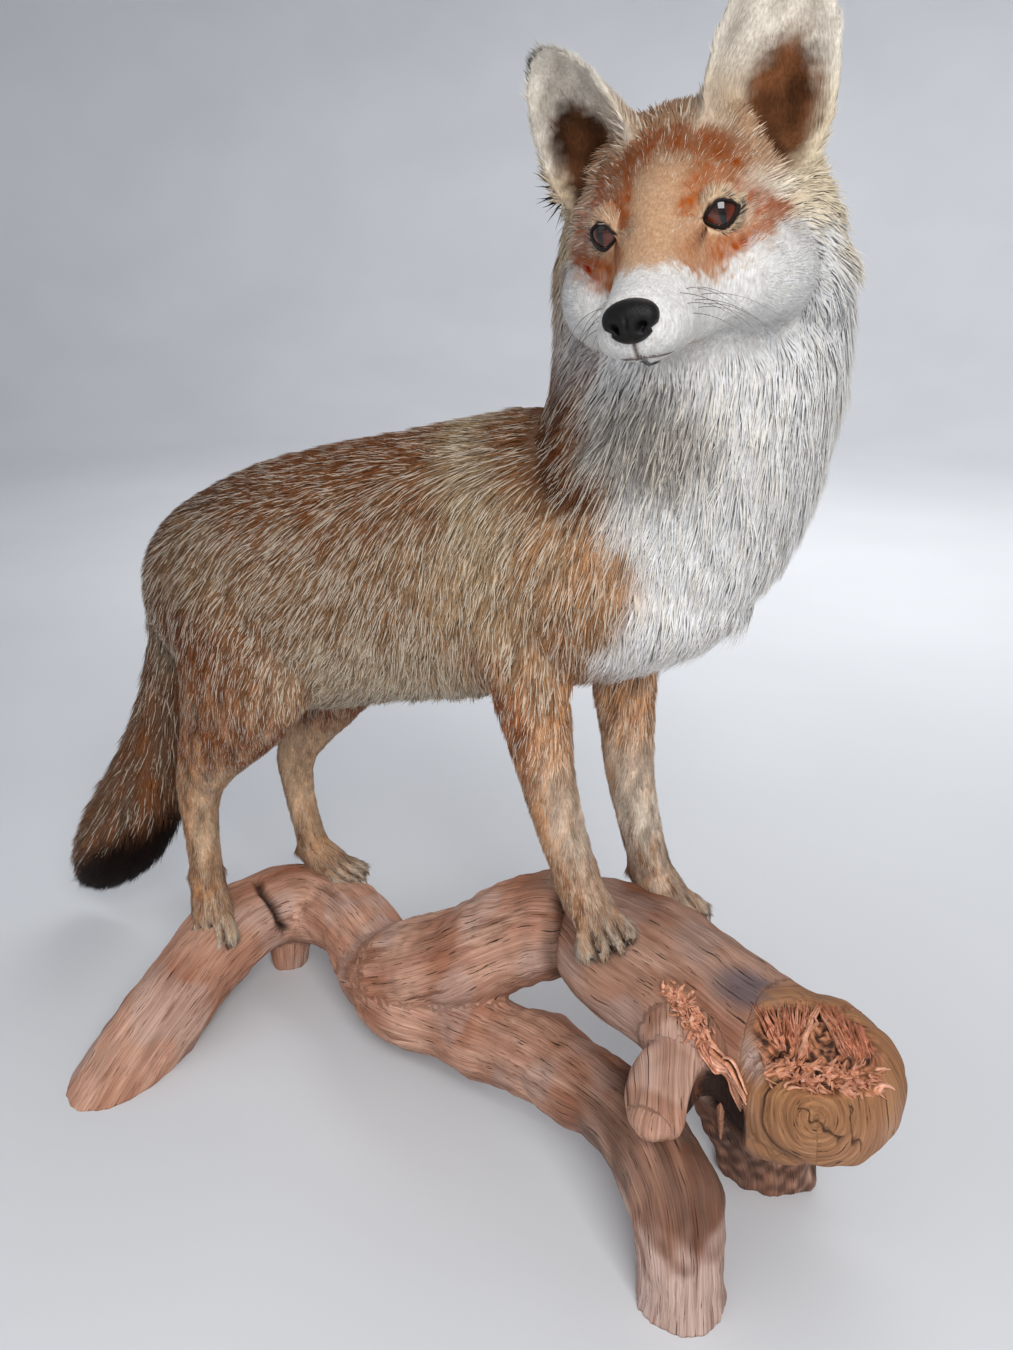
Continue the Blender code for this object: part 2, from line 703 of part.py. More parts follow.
def paw(name, ankle, ball_of_foot, toe_tip, spread, ground):
    """A paw with four toes and claws, cut free of the wood under it."""
    ankle, heel, tip = Vector(ankle), Vector(ball_of_foot), Vector(toe_tip)
    along = (tip - heel).normalized()
    across = along.cross(ankle - heel).normalized()
    down = along.cross(across).normalized()
    if down.z > 0:
        down = -down
    shapes = [path_loft("wrist", [
        (*(ankle + (ankle - heel) * 0.8), PALM_RADIUS, PALM_RADIUS),
        (*ankle, PALM_RADIUS, PALM_RADIUS),
        (*heel, PALM_RADIUS * 1.10, PALM_RADIUS * 0.95),
        (*(heel + along * 0.012), PALM_RADIUS * 0.9, PALM_RADIUS * 0.8)])]
    claws = []
    for place in (-1.0, -0.36, 0.36, 1.0):
        reach = 1.0 - 0.22 * place * place
        root = heel + across * (spread * 0.55 * place)
        end = heel + (tip - heel) * reach + across * (spread * 0.82 * place)
        middle = root.lerp(end, 0.62)
        turn = (end - root).to_track_quat("X", "Z").to_matrix()
        half = (end - root).length / 2
        shapes.append(ball("toe", middle, (half, TOE_RADIUS, TOE_RADIUS * 0.95), 14, 8, turn))
        shapes.append(ball("toe_end", end, [TOE_RADIUS * 0.9] * 3, 12, 8))
        claws.append(claw(end + along * (TOE_RADIUS * 0.75), along, down))
    made = thin_out(fuse(join(name, shapes), PAW_VOXEL, 1), PAW_TRIANGLES)
    for spike in claws:
        boolean(made, spike, "UNION")
    above = ankle + Vector((0.0, 0.0, LEG_SIDE_ROOM - GAP / 2))
    boolean(made, box("leg_side", above, [LEG_SIDE_ROOM] * 3))
    for wood in ground:
        boolean(made, swollen(wood, GAP))
    made.name = name
    return coloured(made, "leg")


def under_floor():
    """A block that levels the wood's feet."""
    return box("under_floor", Vector((0.0, 0.0, -FLOOR_BLOCK.z)), FLOOR_BLOCK)


def driftwood_branch():
    """The forked branch: back limb, high limb to the root, low limb to the front."""
    shapes = [path_loft("limb", stations) for stations in
              (WOOD_BACK_LIMB, WOOD_KNUCKLE, WOOD_HIGH_LIMB, WOOD_LOW_LIMB)]
    made = fuse(join("driftwood_branch", shapes), WOOD_VOXEL, 2)
    thin_out(made, BRANCH_TRIANGLES)
    boolean(made, under_floor())
    return coloured(made, "wood")


def driftwood_root(branch):
    """The burl root with its knob, fitted over the end of the branch."""
    shapes = [path_loft("root", WOOD_ROOT), path_loft("heel", WOOD_HEEL)]
    for centre, radii in (WOOD_KNOB, WOOD_LOBE):
        shapes.append(ball("lump", Vector(centre), radii))
    made = fuse(join("driftwood_root", shapes), WOOD_VOXEL, 2)
    thin_out(made, ROOT_TRIANGLES)
    boolean(made, under_floor())
    boolean(made, swollen(branch, WOOD_GAP))
    return coloured(made, "wood")


def place_origin():
    """Move every node so that the footprint's middle is the origin."""
    for obj in bpy.data.objects:
        obj.data.transform(Matrix.Translation(-FOOTPRINT_CENTRE))
        obj.data.update()


def main():
    clear_scene()
    pieces = parted_body()
    skull = pieces["head"]
    for name in EARS:
        ear(name, skull)
    for name, side in (("eye_left", 1), ("eye_right", -1)):
        coloured(eyeball(name, side), "glass")
        boolean(skull, eyeball("socket", side, GAP))
        boolean(skull, eye_opening(side))
    coloured(nose_pad("nose"), "nose")
    boolean(skull, nose_pad("nose_bed", GAP))
    branch = driftwood_branch()
    root = driftwood_root(branch)
    for name, places in PAWS.items():
        paw(name, *places, (branch, root))
    place_origin()


main()
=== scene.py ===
"""The looks of a mounted red fox: skin, coat, glass eyes, nose, claws, whiskers and driftwood.

Sizes are metres. Points are worked out in the modelling frame of the body, with
+X the way the trunk points and +Y the fox's left, and a mesh is moved to the
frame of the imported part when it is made.
"""
import math

import bmesh
import bpy
import numpy as np
from bpy.props import FloatProperty, FloatVectorProperty, IntProperty, PointerProperty
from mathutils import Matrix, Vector


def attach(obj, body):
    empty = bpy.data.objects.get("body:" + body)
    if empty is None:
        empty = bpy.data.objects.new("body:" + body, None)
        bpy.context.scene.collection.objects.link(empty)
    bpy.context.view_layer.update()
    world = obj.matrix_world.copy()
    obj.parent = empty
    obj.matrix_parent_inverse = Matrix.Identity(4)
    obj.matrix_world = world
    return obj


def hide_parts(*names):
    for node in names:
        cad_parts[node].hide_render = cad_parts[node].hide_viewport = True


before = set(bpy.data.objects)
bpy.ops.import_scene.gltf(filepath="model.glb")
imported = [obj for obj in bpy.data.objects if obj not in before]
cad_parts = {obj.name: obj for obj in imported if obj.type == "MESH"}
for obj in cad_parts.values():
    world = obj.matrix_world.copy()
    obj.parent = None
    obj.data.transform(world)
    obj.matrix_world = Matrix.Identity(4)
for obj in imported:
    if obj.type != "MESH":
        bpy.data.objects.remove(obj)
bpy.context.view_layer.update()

bl_info = {
    "name": "Mounted red fox",
    "version": (1, 0, 0),
    "blender": (4, 5, 0),
    "location": "View3D > Sidebar > Fox",
    "description": "Skin, coat, glass eyes and driftwood of a mounted red fox",
    "category": "Object",
}

TO_PART_FRAME = np.array([0.0502, 0.0619, 0.0])   # from the modelling frame
RING_POINTS = 32             # points round a lofted section
SPAN_STEPS = 5               # rings between two stations of a loft
SKIN_VOXEL = 0.0034
WOOD_VOXEL = 0.0027
GRAIN_RADIUS = 0.034         # limb radius that turns round it are measured on
RISE_SHARE = 0.45            # height of a lying tuft over length times sine of lift


# ---- the body's stations ----------------------------------------------------
def metres(rows, lengths=None):
    """Rows given in millimetres as metres; only the first columns if not all are lengths."""
    rows = np.array(rows, float)
    rows[:, :lengths] = np.round(rows[:, :lengths] / 1000, 5)
    return rows


# Trunk sections: x, top z, bottom z, half width.
TRUNK = metres([
    (-283, 352, 326, 12), (-276, 378, 308, 28), (-256, 401, 288, 45), (-225, 421, 266, 58),
    (-165, 447, 254, 68), (-100, 464, 270, 72), (-30, 479, 290, 75), (30, 492, 305, 75),
    (80, 500, 322, 76), (130, 490, 338, 73), (170, 465, 358, 62), (200, 435, 386, 30)])
# Level sections of neck and legs: x, y, z, half length, half width.
COLUMNS = {
    "neck": metres([
        (100, 0, 375, 80, 62), (119, 0, 410, 92, 72), (137, 2, 450, 90, 74), (150, 3, 490, 84, 73),
        (155, 2, 530, 82, 70), (155, -6, 570, 78, 67), (153, -16, 602, 64, 58),
        (150, -24, 625, 40, 40)]),
    "foreleg_right": metres([
        (58, -46, 415, 52, 30), (64, -48, 380, 36, 28), (77, -47, 345, 30, 24),
        (84, -46, 310, 24, 20.5), (92, -45, 275, 20.2, 18.2), (103, -45, 240, 18.2, 16.8),
        (113, -45, 215, 17.2, 16.5), (119, -45, 195, 17.2, 16.5)]),
    "foreleg_left": metres([
        (85, 42, 405, 48, 30), (95, 42, 370, 32, 26), (102, 40, 330, 26.2, 22.2),
        (108, 38, 290, 21.2, 19.2), (113, 37, 250, 18.6, 17.6), (122, 37, 213, 17, 16.2),
        (130, 37, 186, 16.8, 16.2), (134, 37, 168, 16.8, 16.2)]),
    "hindleg_right": metres([
        (-170, -26, 405, 40, 24), (-163, -40, 365, 60, 33), (-156, -48, 325, 63, 31),
        (-154, -51, 295, 60, 29), (-166, -52, 262, 52, 26), (-183, -52, 236, 40, 23),
        (-202, -51, 212, 29, 19.5), (-214, -50, 190, 21, 16.5), (-217, -50, 160, 16.2, 15),
        (-217, -50, 125, 15.2, 14.6), (-217, -50, 100, 16, 15.2), (-217, -50, 85, 16, 15.2)]),
    "hindleg_left": metres([
        (-172, 26, 400, 40, 24), (-165, 40, 355, 60, 33), (-158, 47, 305, 60, 30),
        (-160, 49, 262, 51, 26), (-174, 50, 230, 37, 22), (-191, 50, 204, 26.5, 18.5),
        (-203, 50, 180, 19.5, 15.8), (-202, 50, 150, 15.4, 14.2), (-196, 50, 120, 14.8, 14),
        (-189, 50, 97, 15.6, 15), (-186, 50, 82, 15.6, 15)]),
}
# Tail along its own path: x, y, z, half thickness.
TAIL = metres([
    (-246, 0, 352, 23), (-270, 0, 330, 25), (-277, -1, 295, 24.5), (-287, -5, 250, 25.5),
    (-302, -10, 200, 31), (-324, -14, 148, 38.5), (-350, -18, 106, 40.5), (-375, -20, 76, 35),
    (-395, -21, 53, 24), (-407, -22, 38, 11)])

# The head's own frame: origin midway between the eyes, then forward, left, up.
EYES_MIDDLE = np.array([0.168, -0.0909, 0.5874])
HEAD_YAW = math.radians(-81.7)
HEAD_PITCH = math.radians(11.7)
HEAD_ROLL = math.radians(8.6)
# Head sections: forward, top, bottom, half width, widening of the lower half.
HEAD = metres([
    (69, -22.5, -38.5, 10, 0), (65.5, -18.5, -43, 15, 0), (59, -15.5, -48, 18.2, 0.05),
    (49, -13.5, -50.5, 20, 0.08), (38, -9.5, -51.5, 21, 0.1), (27, -2, -52.5, 21.2, 0.14),
    (16, 8, -53.5, 22.5, 0.2), (5, 16.5, -55, 28.5, 0.24), (-6, 23.5, -57, 38, 0.24),
    (-17, 30, -60, 49, 0.22), (-30, 37.5, -64, 58.5, 0.2), (-44, 44, -67, 66.5, 0.18),
    (-58, 45.5, -68, 70.5, 0.16), (-72, 40, -66, 67, 0.12), (-87, 27, -58, 51, 0.06),
    (-96, 8, -42, 27, 0)], 4)
# Soft forms on the head: centre, radii in the head's frame; mirrored.
HEAD_FORMS = [
    ((-0.032, 0.036, -0.033), (0.035, 0.027, 0.027)),
    ((-0.06, 0.042, -0.039), (0.034, 0.034, 0.033)),
    ((0.053, 0.0105, -0.0345), (0.0135, 0.01, 0.0105)),
]
EARS = {
    "ear_left": (1, (-0.043, 0.041, 0.022), (-0.055, 0.059, 0.098)),
    "ear_right": (-1, (-0.043, 0.041, 0.021), (-0.057, 0.0655, 0.08)),
}
EAR_FACING = math.radians(28.0)
EAR_BURIED = 0.034
# Ear sections: share of the length, half width, opening half angle, thickness.
EAR = [
    (0.0, 0.018, 52.0, 0.007), (0.14, 0.024, 58.0, 0.007),
    (0.28, 0.0295, 68.0, 0.007), (0.46, 0.0335, 72.0, 0.007),
    (0.64, 0.0315, 64.0, 0.0066), (0.81, 0.0245, 56.0, 0.006),
    (0.93, 0.015, 48.0, 0.0054), (1.0, 0.006, 42.0, 0.0046),
]
HOLLOW_AT = 0.05            # middle of the ear's dark hollow, from its buried end
HOLLOW_OUT = 0.009           # and how far it lies to the outer side
HOLLOW_HALF = (0.03, 0.0165)         # its half length and half width
HOLLOW_DEPTH = 0.0062        # how far the head is pressed in below the hollow
EYE_RADIUS = 0.0098
EYE_CENTRE = (-0.0055, 0.0236, -0.0005)
GAZE_OUT = math.radians(25.0)
LID_SKIN = 0.0013            # thickness of the lids over the eyeball
LID_TILT = math.radians(10.0)       # the outer corner of the eye is the higher one
LID_HALF_WIDE = math.radians(46.0)  # the eye's opening, seen from its centre
LID_HALF_HIGH = math.radians(31.0)
ALMOND = 0.45                # how much the opening narrows toward its corners
NOSE_CENTRE = (0.066, 0.0, -0.0275)
NOSE_RADII = (0.008, 0.0118, 0.0088)

# Paws: leg axis at the wrist, ball of the foot, middle toe tip, half spread.
PAWS = {
    "forepaw_right": (metres([(116, -45, 206), (127, -48, 190), (140, -53.5, 175)]), 0.0195),
    "forepaw_left": (metres([(132.2, 37, 179), (144, 33, 168), (168, 23.5, 156)]), 0.0185),
    "hindpaw_right": (metres([(-217, -50, 104), (-209, -56, 87), (-196, -69, 65)]), 0.0185),
    "hindpaw_left": (metres([(-189, 50, 97), (-174, 50, 88), (-145, 49, 80)]), 0.017),
}
TOES = (-1.0, -0.36, 0.36, 1.0)
TOE_RADIUS = 0.0085
PALM_RADIUS = 0.0165
CLAW_LENGTH = 0.0095
CLAW_RADIUS = 0.0015

# Driftwood limbs along their paths: x, y, z, half width, half height.
BRANCH_LIMBS = [
    metres([
        (-215, -182, -25, 30, 32), (-211, -156, 0, 31, 32), (-207, -118, 25, 31, 31),
        (-210, -70, 44, 32, 31), (-210, -25, 56, 34, 32), (-196, 15, 56, 36, 32),
        (-166, 32, 52, 36, 31), (-126, 20, 56, 34, 30), (-86, 2, 52, 34, 32),
        (-52, -14, 57, 36, 36)]),
    metres([
        (-192, 18, 60, 30, 26), (-195, 16, 35, 24, 22), (-196, 14, 5, 17, 16),
        (-196, 13, -20, 14, 13)]),
    metres([
        (-90, -2, 40, 32, 28), (-56, -14, 58, 36, 36), (-1, -19, 90, 38, 36),
        (43, -19, 123, 38, 37), (81, -17, 150, 36, 36), (100, -16, 156, 34, 33)]),
    metres([
        (-80, -6, 38, 30, 30), (-50, -19, 40, 34, 33), (-20, -29, 44, 32, 29),
        (35.3, -38.4, 53.6, 30, 28), (92.4, -51.5, 64.7, 29, 28), (147, -69.5, 71.3, 27, 27),
        (185, -83, 65.6, 27, 27), (209.8, -103, 55.4, 27, 27), (220.7, -116.7, 37.9, 26, 26),
        (224, -121.5, 12, 25, 26), (224.5, -121.5, -20, 24, 25)])]
ROOT_LIMBS = [
    metres([
        (95, -6, 155, 32, 28), (115, -7, 149, 47, 36), (140, -8, 140, 52, 40),
        (185, -14, 129, 52, 42), (225, -26, 118, 51, 46), (257, -34, 109, 50, 50),
        (280, -39, 110, 44, 44)]),
    metres([
        (205, -16, 115, 32, 34), (222, -12, 80, 30, 40), (234, -6, 45, 28, 40),
        (241, -1, 12, 25, 34), (243, 0, -20, 24, 32)])]
KNOB = ((0.274, -0.039, 0.12), (0.041, 0.049, 0.057))
LOBE = ((0.197, -0.083, 0.113), (0.023, 0.023, 0.042))


# ---- colours ----------------------------------------------------------------
def linear(code):
    """Linear RGB of an sRGB hex colour."""
    parts = [int(code[at:at + 2], 16) / 255 for at in (1, 3, 5)]
    return tuple(part / 12.92 if part <= 0.04045 else ((part + 0.055) / 1.055) ** 2.4
                 for part in parts)


COLOURS = {
    "back": ("Rusty brown along the spine", "#85502c"),
    "flank": ("Sandy side of the trunk", "#a28160"),
    "band": ("Pale band behind the shoulder", "#b39d7c"),
    "cream": ("Cream of the lower flank and ruff", "#e2d2b2"),
    "belly": ("Pale belly fur", "#a89e8a"),
    "rust": ("Rust red of the eye streaks and crown", "#a05220"),
    "stripe": ("Dark brown stripe from nape to shoulder", "#4a2410"),
    "white": ("White of cheeks, muzzle and chest", "#f6f6f6"),
    "muzzle": ("Short white fur of muzzle and cheeks", "#dcdcdb"),
    "chest": ("Grey-white of throat and chest", "#dddddc"),
    "smoke": ("Grey-brown underfur that shows in pale fur", "#8a8178"),
    "fawn": ("Fawn of the muzzle bridge and below the eyes", "#bd9878"),
    "forehead": ("Greyer brown of the forehead", "#94745a"),
    "temple": ("Pale fur between eye and ear", "#e9dfcd"),
    "leg": ("Tan orange of the legs", "#c9966c"),
    "stain": ("Brown spots at wrists and hocks", "#6b3d22"),
    "tail": ("Grey-brown of the tail", "#6e5442"),
    "tip": ("Near-black end of the tail", "#180b06"),
    "ear_rim": ("Pale rim of the ear", "#e3dccf"),
    # the ear hollow's brown is partly the ear's own colour and partly painted shade of the cupped
    # ear
    "ear_hollow": ("Brown inside of the ear", "#5c3a24"),
    "ear_back": ("Dark fur on the back of the ear", "#6a5848"),
    "lid": ("Dark bare edge of lids and lips", "#1d1512"),
    "iris": ("Red-brown of the glass eye", "#6a2c18"),
    "pupil": ("Black of pupil and nose", "#0d0908"),
    "nose": ("Dry black nose leather", "#0b0909"),
    "claw": ("Brown-grey horn of the claws", "#8f7a66"),
    "whisker": ("Dark whiskers", "#3a2e27"),
    "wood_pale": ("Weathered tan of the driftwood", "#d3a892"),
    "wood_red": ("Red-brown heartwood patches", "#a86e52"),
    "wood_dark": ("Dark cracks and bark of the driftwood", "#4a342b"),
    "wood_grey": ("Silvered patches of the driftwood", "#c9b1a8"),
    "wood_bare": ("Orange tan of the torn fibres", "#d99b76"),
    "wood_blue": ("Blue-grey stain on top of the root", "#5d5660"),
    "knob": ("Smooth yellow-tan of the knob", "#ab7d56"),
    "floor": ("Pale studio floor", "#d9dbde"),
}


class FoxColours(bpy.types.PropertyGroup):
    """Colours of the coat, eyes, wood and floor."""
    __annotations__ = {
        key: FloatVectorProperty(name=key.replace("_", " ").capitalize(), description=text,
                                 default=linear(code), subtype="COLOR", min=0.0, max=1.0)
        for key, (text, code) in COLOURS.items()}


class FoxSizes(bpy.types.PropertyGroup):
    """Sizes of the coat and small pieces."""
    guard_width: FloatProperty(
        name="Guard hair lock width", description="Width of a lock on trunk and neck",
        default=0.00095, unit="LENGTH", min=0.0003, max=0.004)
    short_width: FloatProperty(
        name="Short lock width", description="Width of a lock on face, ears and legs",
        default=0.00062, unit="LENGTH", min=0.0002, max=0.003)
    length_scale: FloatProperty(
        name="Coat length", description="Share of the natural coat length",
        default=1.0, subtype="FACTOR", min=0.2, max=1.5)
    long_locks: IntProperty(
        name="Long locks", description="Locks on trunk, neck, cheeks and tail",
        default=125000, min=1000, max=130000)
    short_locks: IntProperty(
        name="Short locks", description="Locks on face, ears, legs and paws",
        default=165000, min=1000, max=170000)
    whisker_radius: FloatProperty(
        name="Whisker radius", description="Radius of a whisker at its root",
        default=0.00015, unit="LENGTH", min=0.0001, max=0.001)
    fibre_radius: FloatProperty(
        name="Fibre thickness", description="Half thickness of a torn splinter",
        default=0.0011, unit="LENGTH", min=0.0003, max=0.004)


def colour(key):
    """A colour of the panel as a numpy array."""
    return np.array(getattr(bpy.context.scene.fox_colours, key)[:])


# ---- small tools ------------------------------------------------------------
def unit(vectors):
    """Rows scaled to length one."""
    vectors = np.asarray(vectors, float)
    return vectors / np.maximum(np.linalg.norm(vectors, axis=-1, keepdims=True), 1e-12)


def ease(low, high, values):
    """Smooth step from 0 at low to 1 at high."""
    share = np.clip((np.asarray(values) - low) / (high - low), 0.0, 1.0)
    return share * share * (3.0 - 2.0 * share)


def blob(points, centre, radii):
    """1 at a centre, falling softly to 0 at the given radii."""
    reach = np.sqrt((((points - np.array(centre)) / np.array(radii)) ** 2).sum(-1))
    return 1.0 - ease(0.35, 1.0, reach)


def mixed(first, second, share):
    """Rows of colour between two, by a share for each row."""
    share = np.asarray(share)[..., None]
    return first * (1.0 - share) + second * share


def blend(first, second, share):
    """Rows of colour between two panel colours, by one share or a share for each row."""
    return mixed(colour(first), colour(second), share)


def toned(tone, key, share):
    """Rows of colour turned toward a panel colour, by a share for each row."""
    return mixed(tone, colour(key), share)


def waves(points, size, seed, count=8):
    """Soft random values near the -1..1 range, with bumps of about this size."""
    draw = np.random.default_rng(seed)
    total = np.zeros(len(points))
    for _ in range(count):
        way = unit(draw.normal(size=3)) * 2 * math.pi / size * draw.uniform(0.6, 1.5)
        total += np.sin(points @ way + draw.uniform(0, 2 * math.pi))
    return total / math.sqrt(count / 2)


def smooth_rows(rows, steps=SPAN_STEPS):
    """Catmull-Rom rows through the given rows of numbers."""
    rows = np.array(rows, float)
    last = len(rows) - 1
    index = np.arange(last)
    a, b, c, d = (rows[np.clip(index + shift, 0, last)][:, None, :]
                  for shift in (-1, 0, 1, 2))
    t = (np.arange(steps) / steps)[None, :, None]
    spans = 0.5 * (2 * b + (c - a) * t + (2 * a - 5 * b + 4 * c - d) * t * t
                   + (3 * b - a - 3 * c + d) * t ** 3)
    return np.vstack([spans.reshape(-1, rows.shape[1]), rows[-1:]])


def turns(count):
    """Even angles round a circle."""
    return np.linspace(0, 2 * math.pi, count, endpoint=False)


def ovals(centres, sides, rises, pears=0.0):
    """Rings of points: ellipses with given half axes, wider below by a pear share."""
    turn = turns(RING_POINTS)
    pears = np.broadcast_to(pears, len(centres))[:, None]
    wide = np.cos(turn) * (1 - pears * np.sin(turn))
    return (centres[:, None] + sides[:, None] * wide[..., None]
            + rises[:, None] * np.sin(turn)[None, :, None])


def shell(rings):
    """Closed triangles over rings of points, facing outward."""
    count, around = rings.shape[:2]
    verts = np.vstack([rings.reshape(-1, 3), rings[0].mean(0), rings[-1].mean(0)])
    row = np.arange(count - 1)[:, None] * around
    here = np.arange(around)[None, :]
    after = (here + 1) % around
    a, b, c, d = (part.ravel() for part in
                  (row + here, row + after, row + around + after, row + around + here))
    here, after = here.ravel(), after.ravel()
    top = (count - 1) * around
    first = np.full(around, count * around)
    tris = np.vstack([np.stack([a, b, c], 1), np.stack([a, c, d], 1),
                      np.stack([after, here, first], 1),
                      np.stack([top + here, top + after, first + 1], 1)])
    corner = verts[tris]
    volume = np.einsum("ij,ij->i", corner[:, 0], np.cross(corner[:, 1], corner[:, 2])).sum()
    return verts, tris if volume > 0 else tris[:, ::-1]


def joined(shells):
    """Several sets of points and triangles as one."""
    verts, tris, base = [], [], 0
    for points, faces in shells:
        verts.append(points)
        tris.append(faces + base)
        base += len(points)
    return np.vstack(verts), np.vstack(tris)


def trunk_rings():
    """Upright sections along the trunk."""
    x, top, bottom, half = smooth_rows(TRUNK).T
    zero = np.zeros_like(x)
    return ovals(np.stack([x, zero, (top + bottom) / 2], 1),
                 np.stack([zero, half, zero], 1), np.stack([zero, zero, (top - bottom) / 2], 1))


def column_rings(stations):
    """Level sections of a neck or a leg."""
    x, y, z, half_x, half_y = smooth_rows(stations).T
    zero = np.zeros_like(x)
    return ovals(np.stack([x, y, z], 1), np.stack([half_x, zero, zero], 1),
                 np.stack([zero, half_y, zero], 1))


def path_rings(stations, steps=SPAN_STEPS):
    """Sections square to a path, with the path's own points, directions and sides."""
    rows = smooth_rows(stations, steps)
    centres = rows[:, :3]
    along = unit(np.gradient(centres, axis=0))
    side = np.cross(along[0], (0, 0, 1) if abs(along[0][2]) < 0.9 else (1, 0, 0))
    sides = []
    for way in along:
        side = unit(side - way * side.dot(way))
        sides.append(side)
    sides = np.array(sides)
    rises = np.cross(sides, along)
    high = rows[:, 4:5] if rows.shape[1] > 4 else rows[:, 3:4]
    return ovals(centres, sides * rows[:, 3:4], rises * high), centres, along, sides


def ball_rings(centre, radii, axes=np.eye(3), count=16):
    """Rings of an ellipsoid along its first axis; axes holds its three directions."""
    polar = np.linspace(0, math.pi, count + 2)[1:-1]
    middle = np.array(centre) + np.cos(polar)[:, None] * radii[0] * axes[0]
    wide = np.sin(polar)[:, None]
    return ovals(middle, wide * radii[1] * axes[1], wide * radii[2] * axes[2])


def head_axes():
    """The head's forward, left and up directions, as rows."""
    level = math.cos(HEAD_PITCH)
    forward = np.array([math.cos(HEAD_YAW) * level, math.sin(HEAD_YAW) * level,
                        -math.sin(HEAD_PITCH)])
    level_left = np.array([-math.sin(HEAD_YAW), math.cos(HEAD_YAW), 0.0])
    left = level_left * math.cos(HEAD_ROLL) + np.cross(forward, level_left) * math.sin(HEAD_ROLL)
    return np.array([forward, left, np.cross(forward, left)])


HEAD_AXES = head_axes()


def on_head(local):
    """Points of the head's frame in the modelling frame."""
    return EYES_MIDDLE + np.asarray(local) @ HEAD_AXES


def to_head(points):
    """Points of the modelling frame in the head's frame."""
    return (points - EYES_MIDDLE) @ HEAD_AXES.T


def make_mesh(name, verts, faces):
    """A mesh of the modelling frame's points, placed in the part's frame."""
    mesh = bpy.data.meshes.new(name)
    mesh.from_pydata(verts + TO_PART_FRAME, [], faces)
    mesh.update()
    return mesh


def make_object(name, mesh):
    """An object that shows a mesh."""
    obj = bpy.data.objects.new(name, mesh)
    bpy.context.scene.collection.objects.link(obj)
    return obj


def read_points(mesh, kind="co"):
    """A mesh's points in the modelling frame, or its vertex normals."""
    values = np.empty(len(mesh.vertices) * 3)
    mesh.vertices.foreach_get(kind, values)
    values = values.reshape(-1, 3)
    return values if kind == "normal" else values - TO_PART_FRAME


def write_points(mesh, points):
    """Move a mesh's points."""
    mesh.vertices.foreach_set("co", (points + TO_PART_FRAME).ravel())
    mesh.update()


def write_attribute(mesh, name, kind, values):
    """Set a point attribute from rows of values."""
    field = {"FLOAT": "value", "FLOAT_VECTOR": "vector", "FLOAT_COLOR": "color"}[kind]
    if kind == "FLOAT_COLOR":
        values = np.hstack([values, np.ones((len(values), 1))])
    made = mesh.attributes.get(name) or mesh.attributes.new(name, kind, "POINT")
    made.data.foreach_set(field, np.ascontiguousarray(values, dtype=np.float32).ravel())


def read_attribute(mesh, name):
    """A point attribute as rows of values."""
    found = mesh.attributes[name]
    width, field = {"FLOAT": (1, "value"), "FLOAT_VECTOR": (3, "vector"),
                    "FLOAT_COLOR": (4, "color")}[found.data_type]
    values = np.empty(len(found.data) * width, np.float32)
    found.data.foreach_get(field, values)
    return values if width == 1 else values.reshape(-1, width)[:, :3].astype(float)


def baked(obj):
    """Replace an object's mesh by its evaluated one and drop its modifiers."""
    graph = bpy.context.evaluated_depsgraph_get()
    graph.update()
    mesh = bpy.data.meshes.new_from_object(obj.evaluated_get(graph))
    obj.modifiers.clear()
    obj.data = mesh
    return obj


def fused(name, shells, voxel, smoothing):
    """One smooth skin over overlapping closed shapes."""
    obj = make_object(name, make_mesh(name, *joined(shells)))
    remesh = obj.modifiers.new("fuse", "REMESH")
    remesh.mode = "VOXEL"
    remesh.voxel_size = voxel
    smooth = obj.modifiers.new("smooth", "SMOOTH")
    smooth.factor = 0.5
    smooth.iterations = smoothing
    return baked(obj)


def relaxed(mesh, points, rounds, share=0.5):
    """Points moved toward the middle of their neighbours."""
    edges = np.empty(len(mesh.edges) * 2, int)
    mesh.edges.foreach_get("vertices", edges)
    a, b = edges.reshape(-1, 2).T
    degree = np.maximum(np.bincount(np.r_[a, b], minlength=len(points)), 1)[:, None]
    for _ in range(rounds):
        total = np.stack([np.bincount(np.r_[a, b], np.r_[points[b, axis], points[a, axis]],
                                      len(points)) for axis in range(points.shape[1])], 1)
        points = points * (1 - share) + total / degree * share
    return points


def reshaped(mesh, work):
    """Change a mesh by a function of its bmesh."""
    shape = bmesh.new()
    shape.from_mesh(mesh)
    shape.verts.ensure_lookup_table()
    work(shape)
    shape.to_mesh(mesh)
    shape.free()
    mesh.update()


def refined(mesh, chosen):
    """Halve the faces whose corners are all chosen; chosen takes points."""
    pick = chosen(read_points(mesh))

    def halve(shape):
        edges = {edge for face in shape.faces if all(pick[v.index] for v in face.verts)
                 for edge in face.edges}
        bmesh.ops.subdivide_edges(shape, edges=list(edges), cuts=1, use_grid_fill=True)

    reshaped(mesh, halve)


def triangulated(mesh):
    """Split every face of a mesh into triangles."""
    reshaped(mesh, lambda shape: bmesh.ops.triangulate(shape, faces=shape.faces))


def shade_smooth(mesh):
    """Round shading on every face."""
    mesh.polygons.foreach_set("use_smooth", np.ones(len(mesh.polygons), bool))


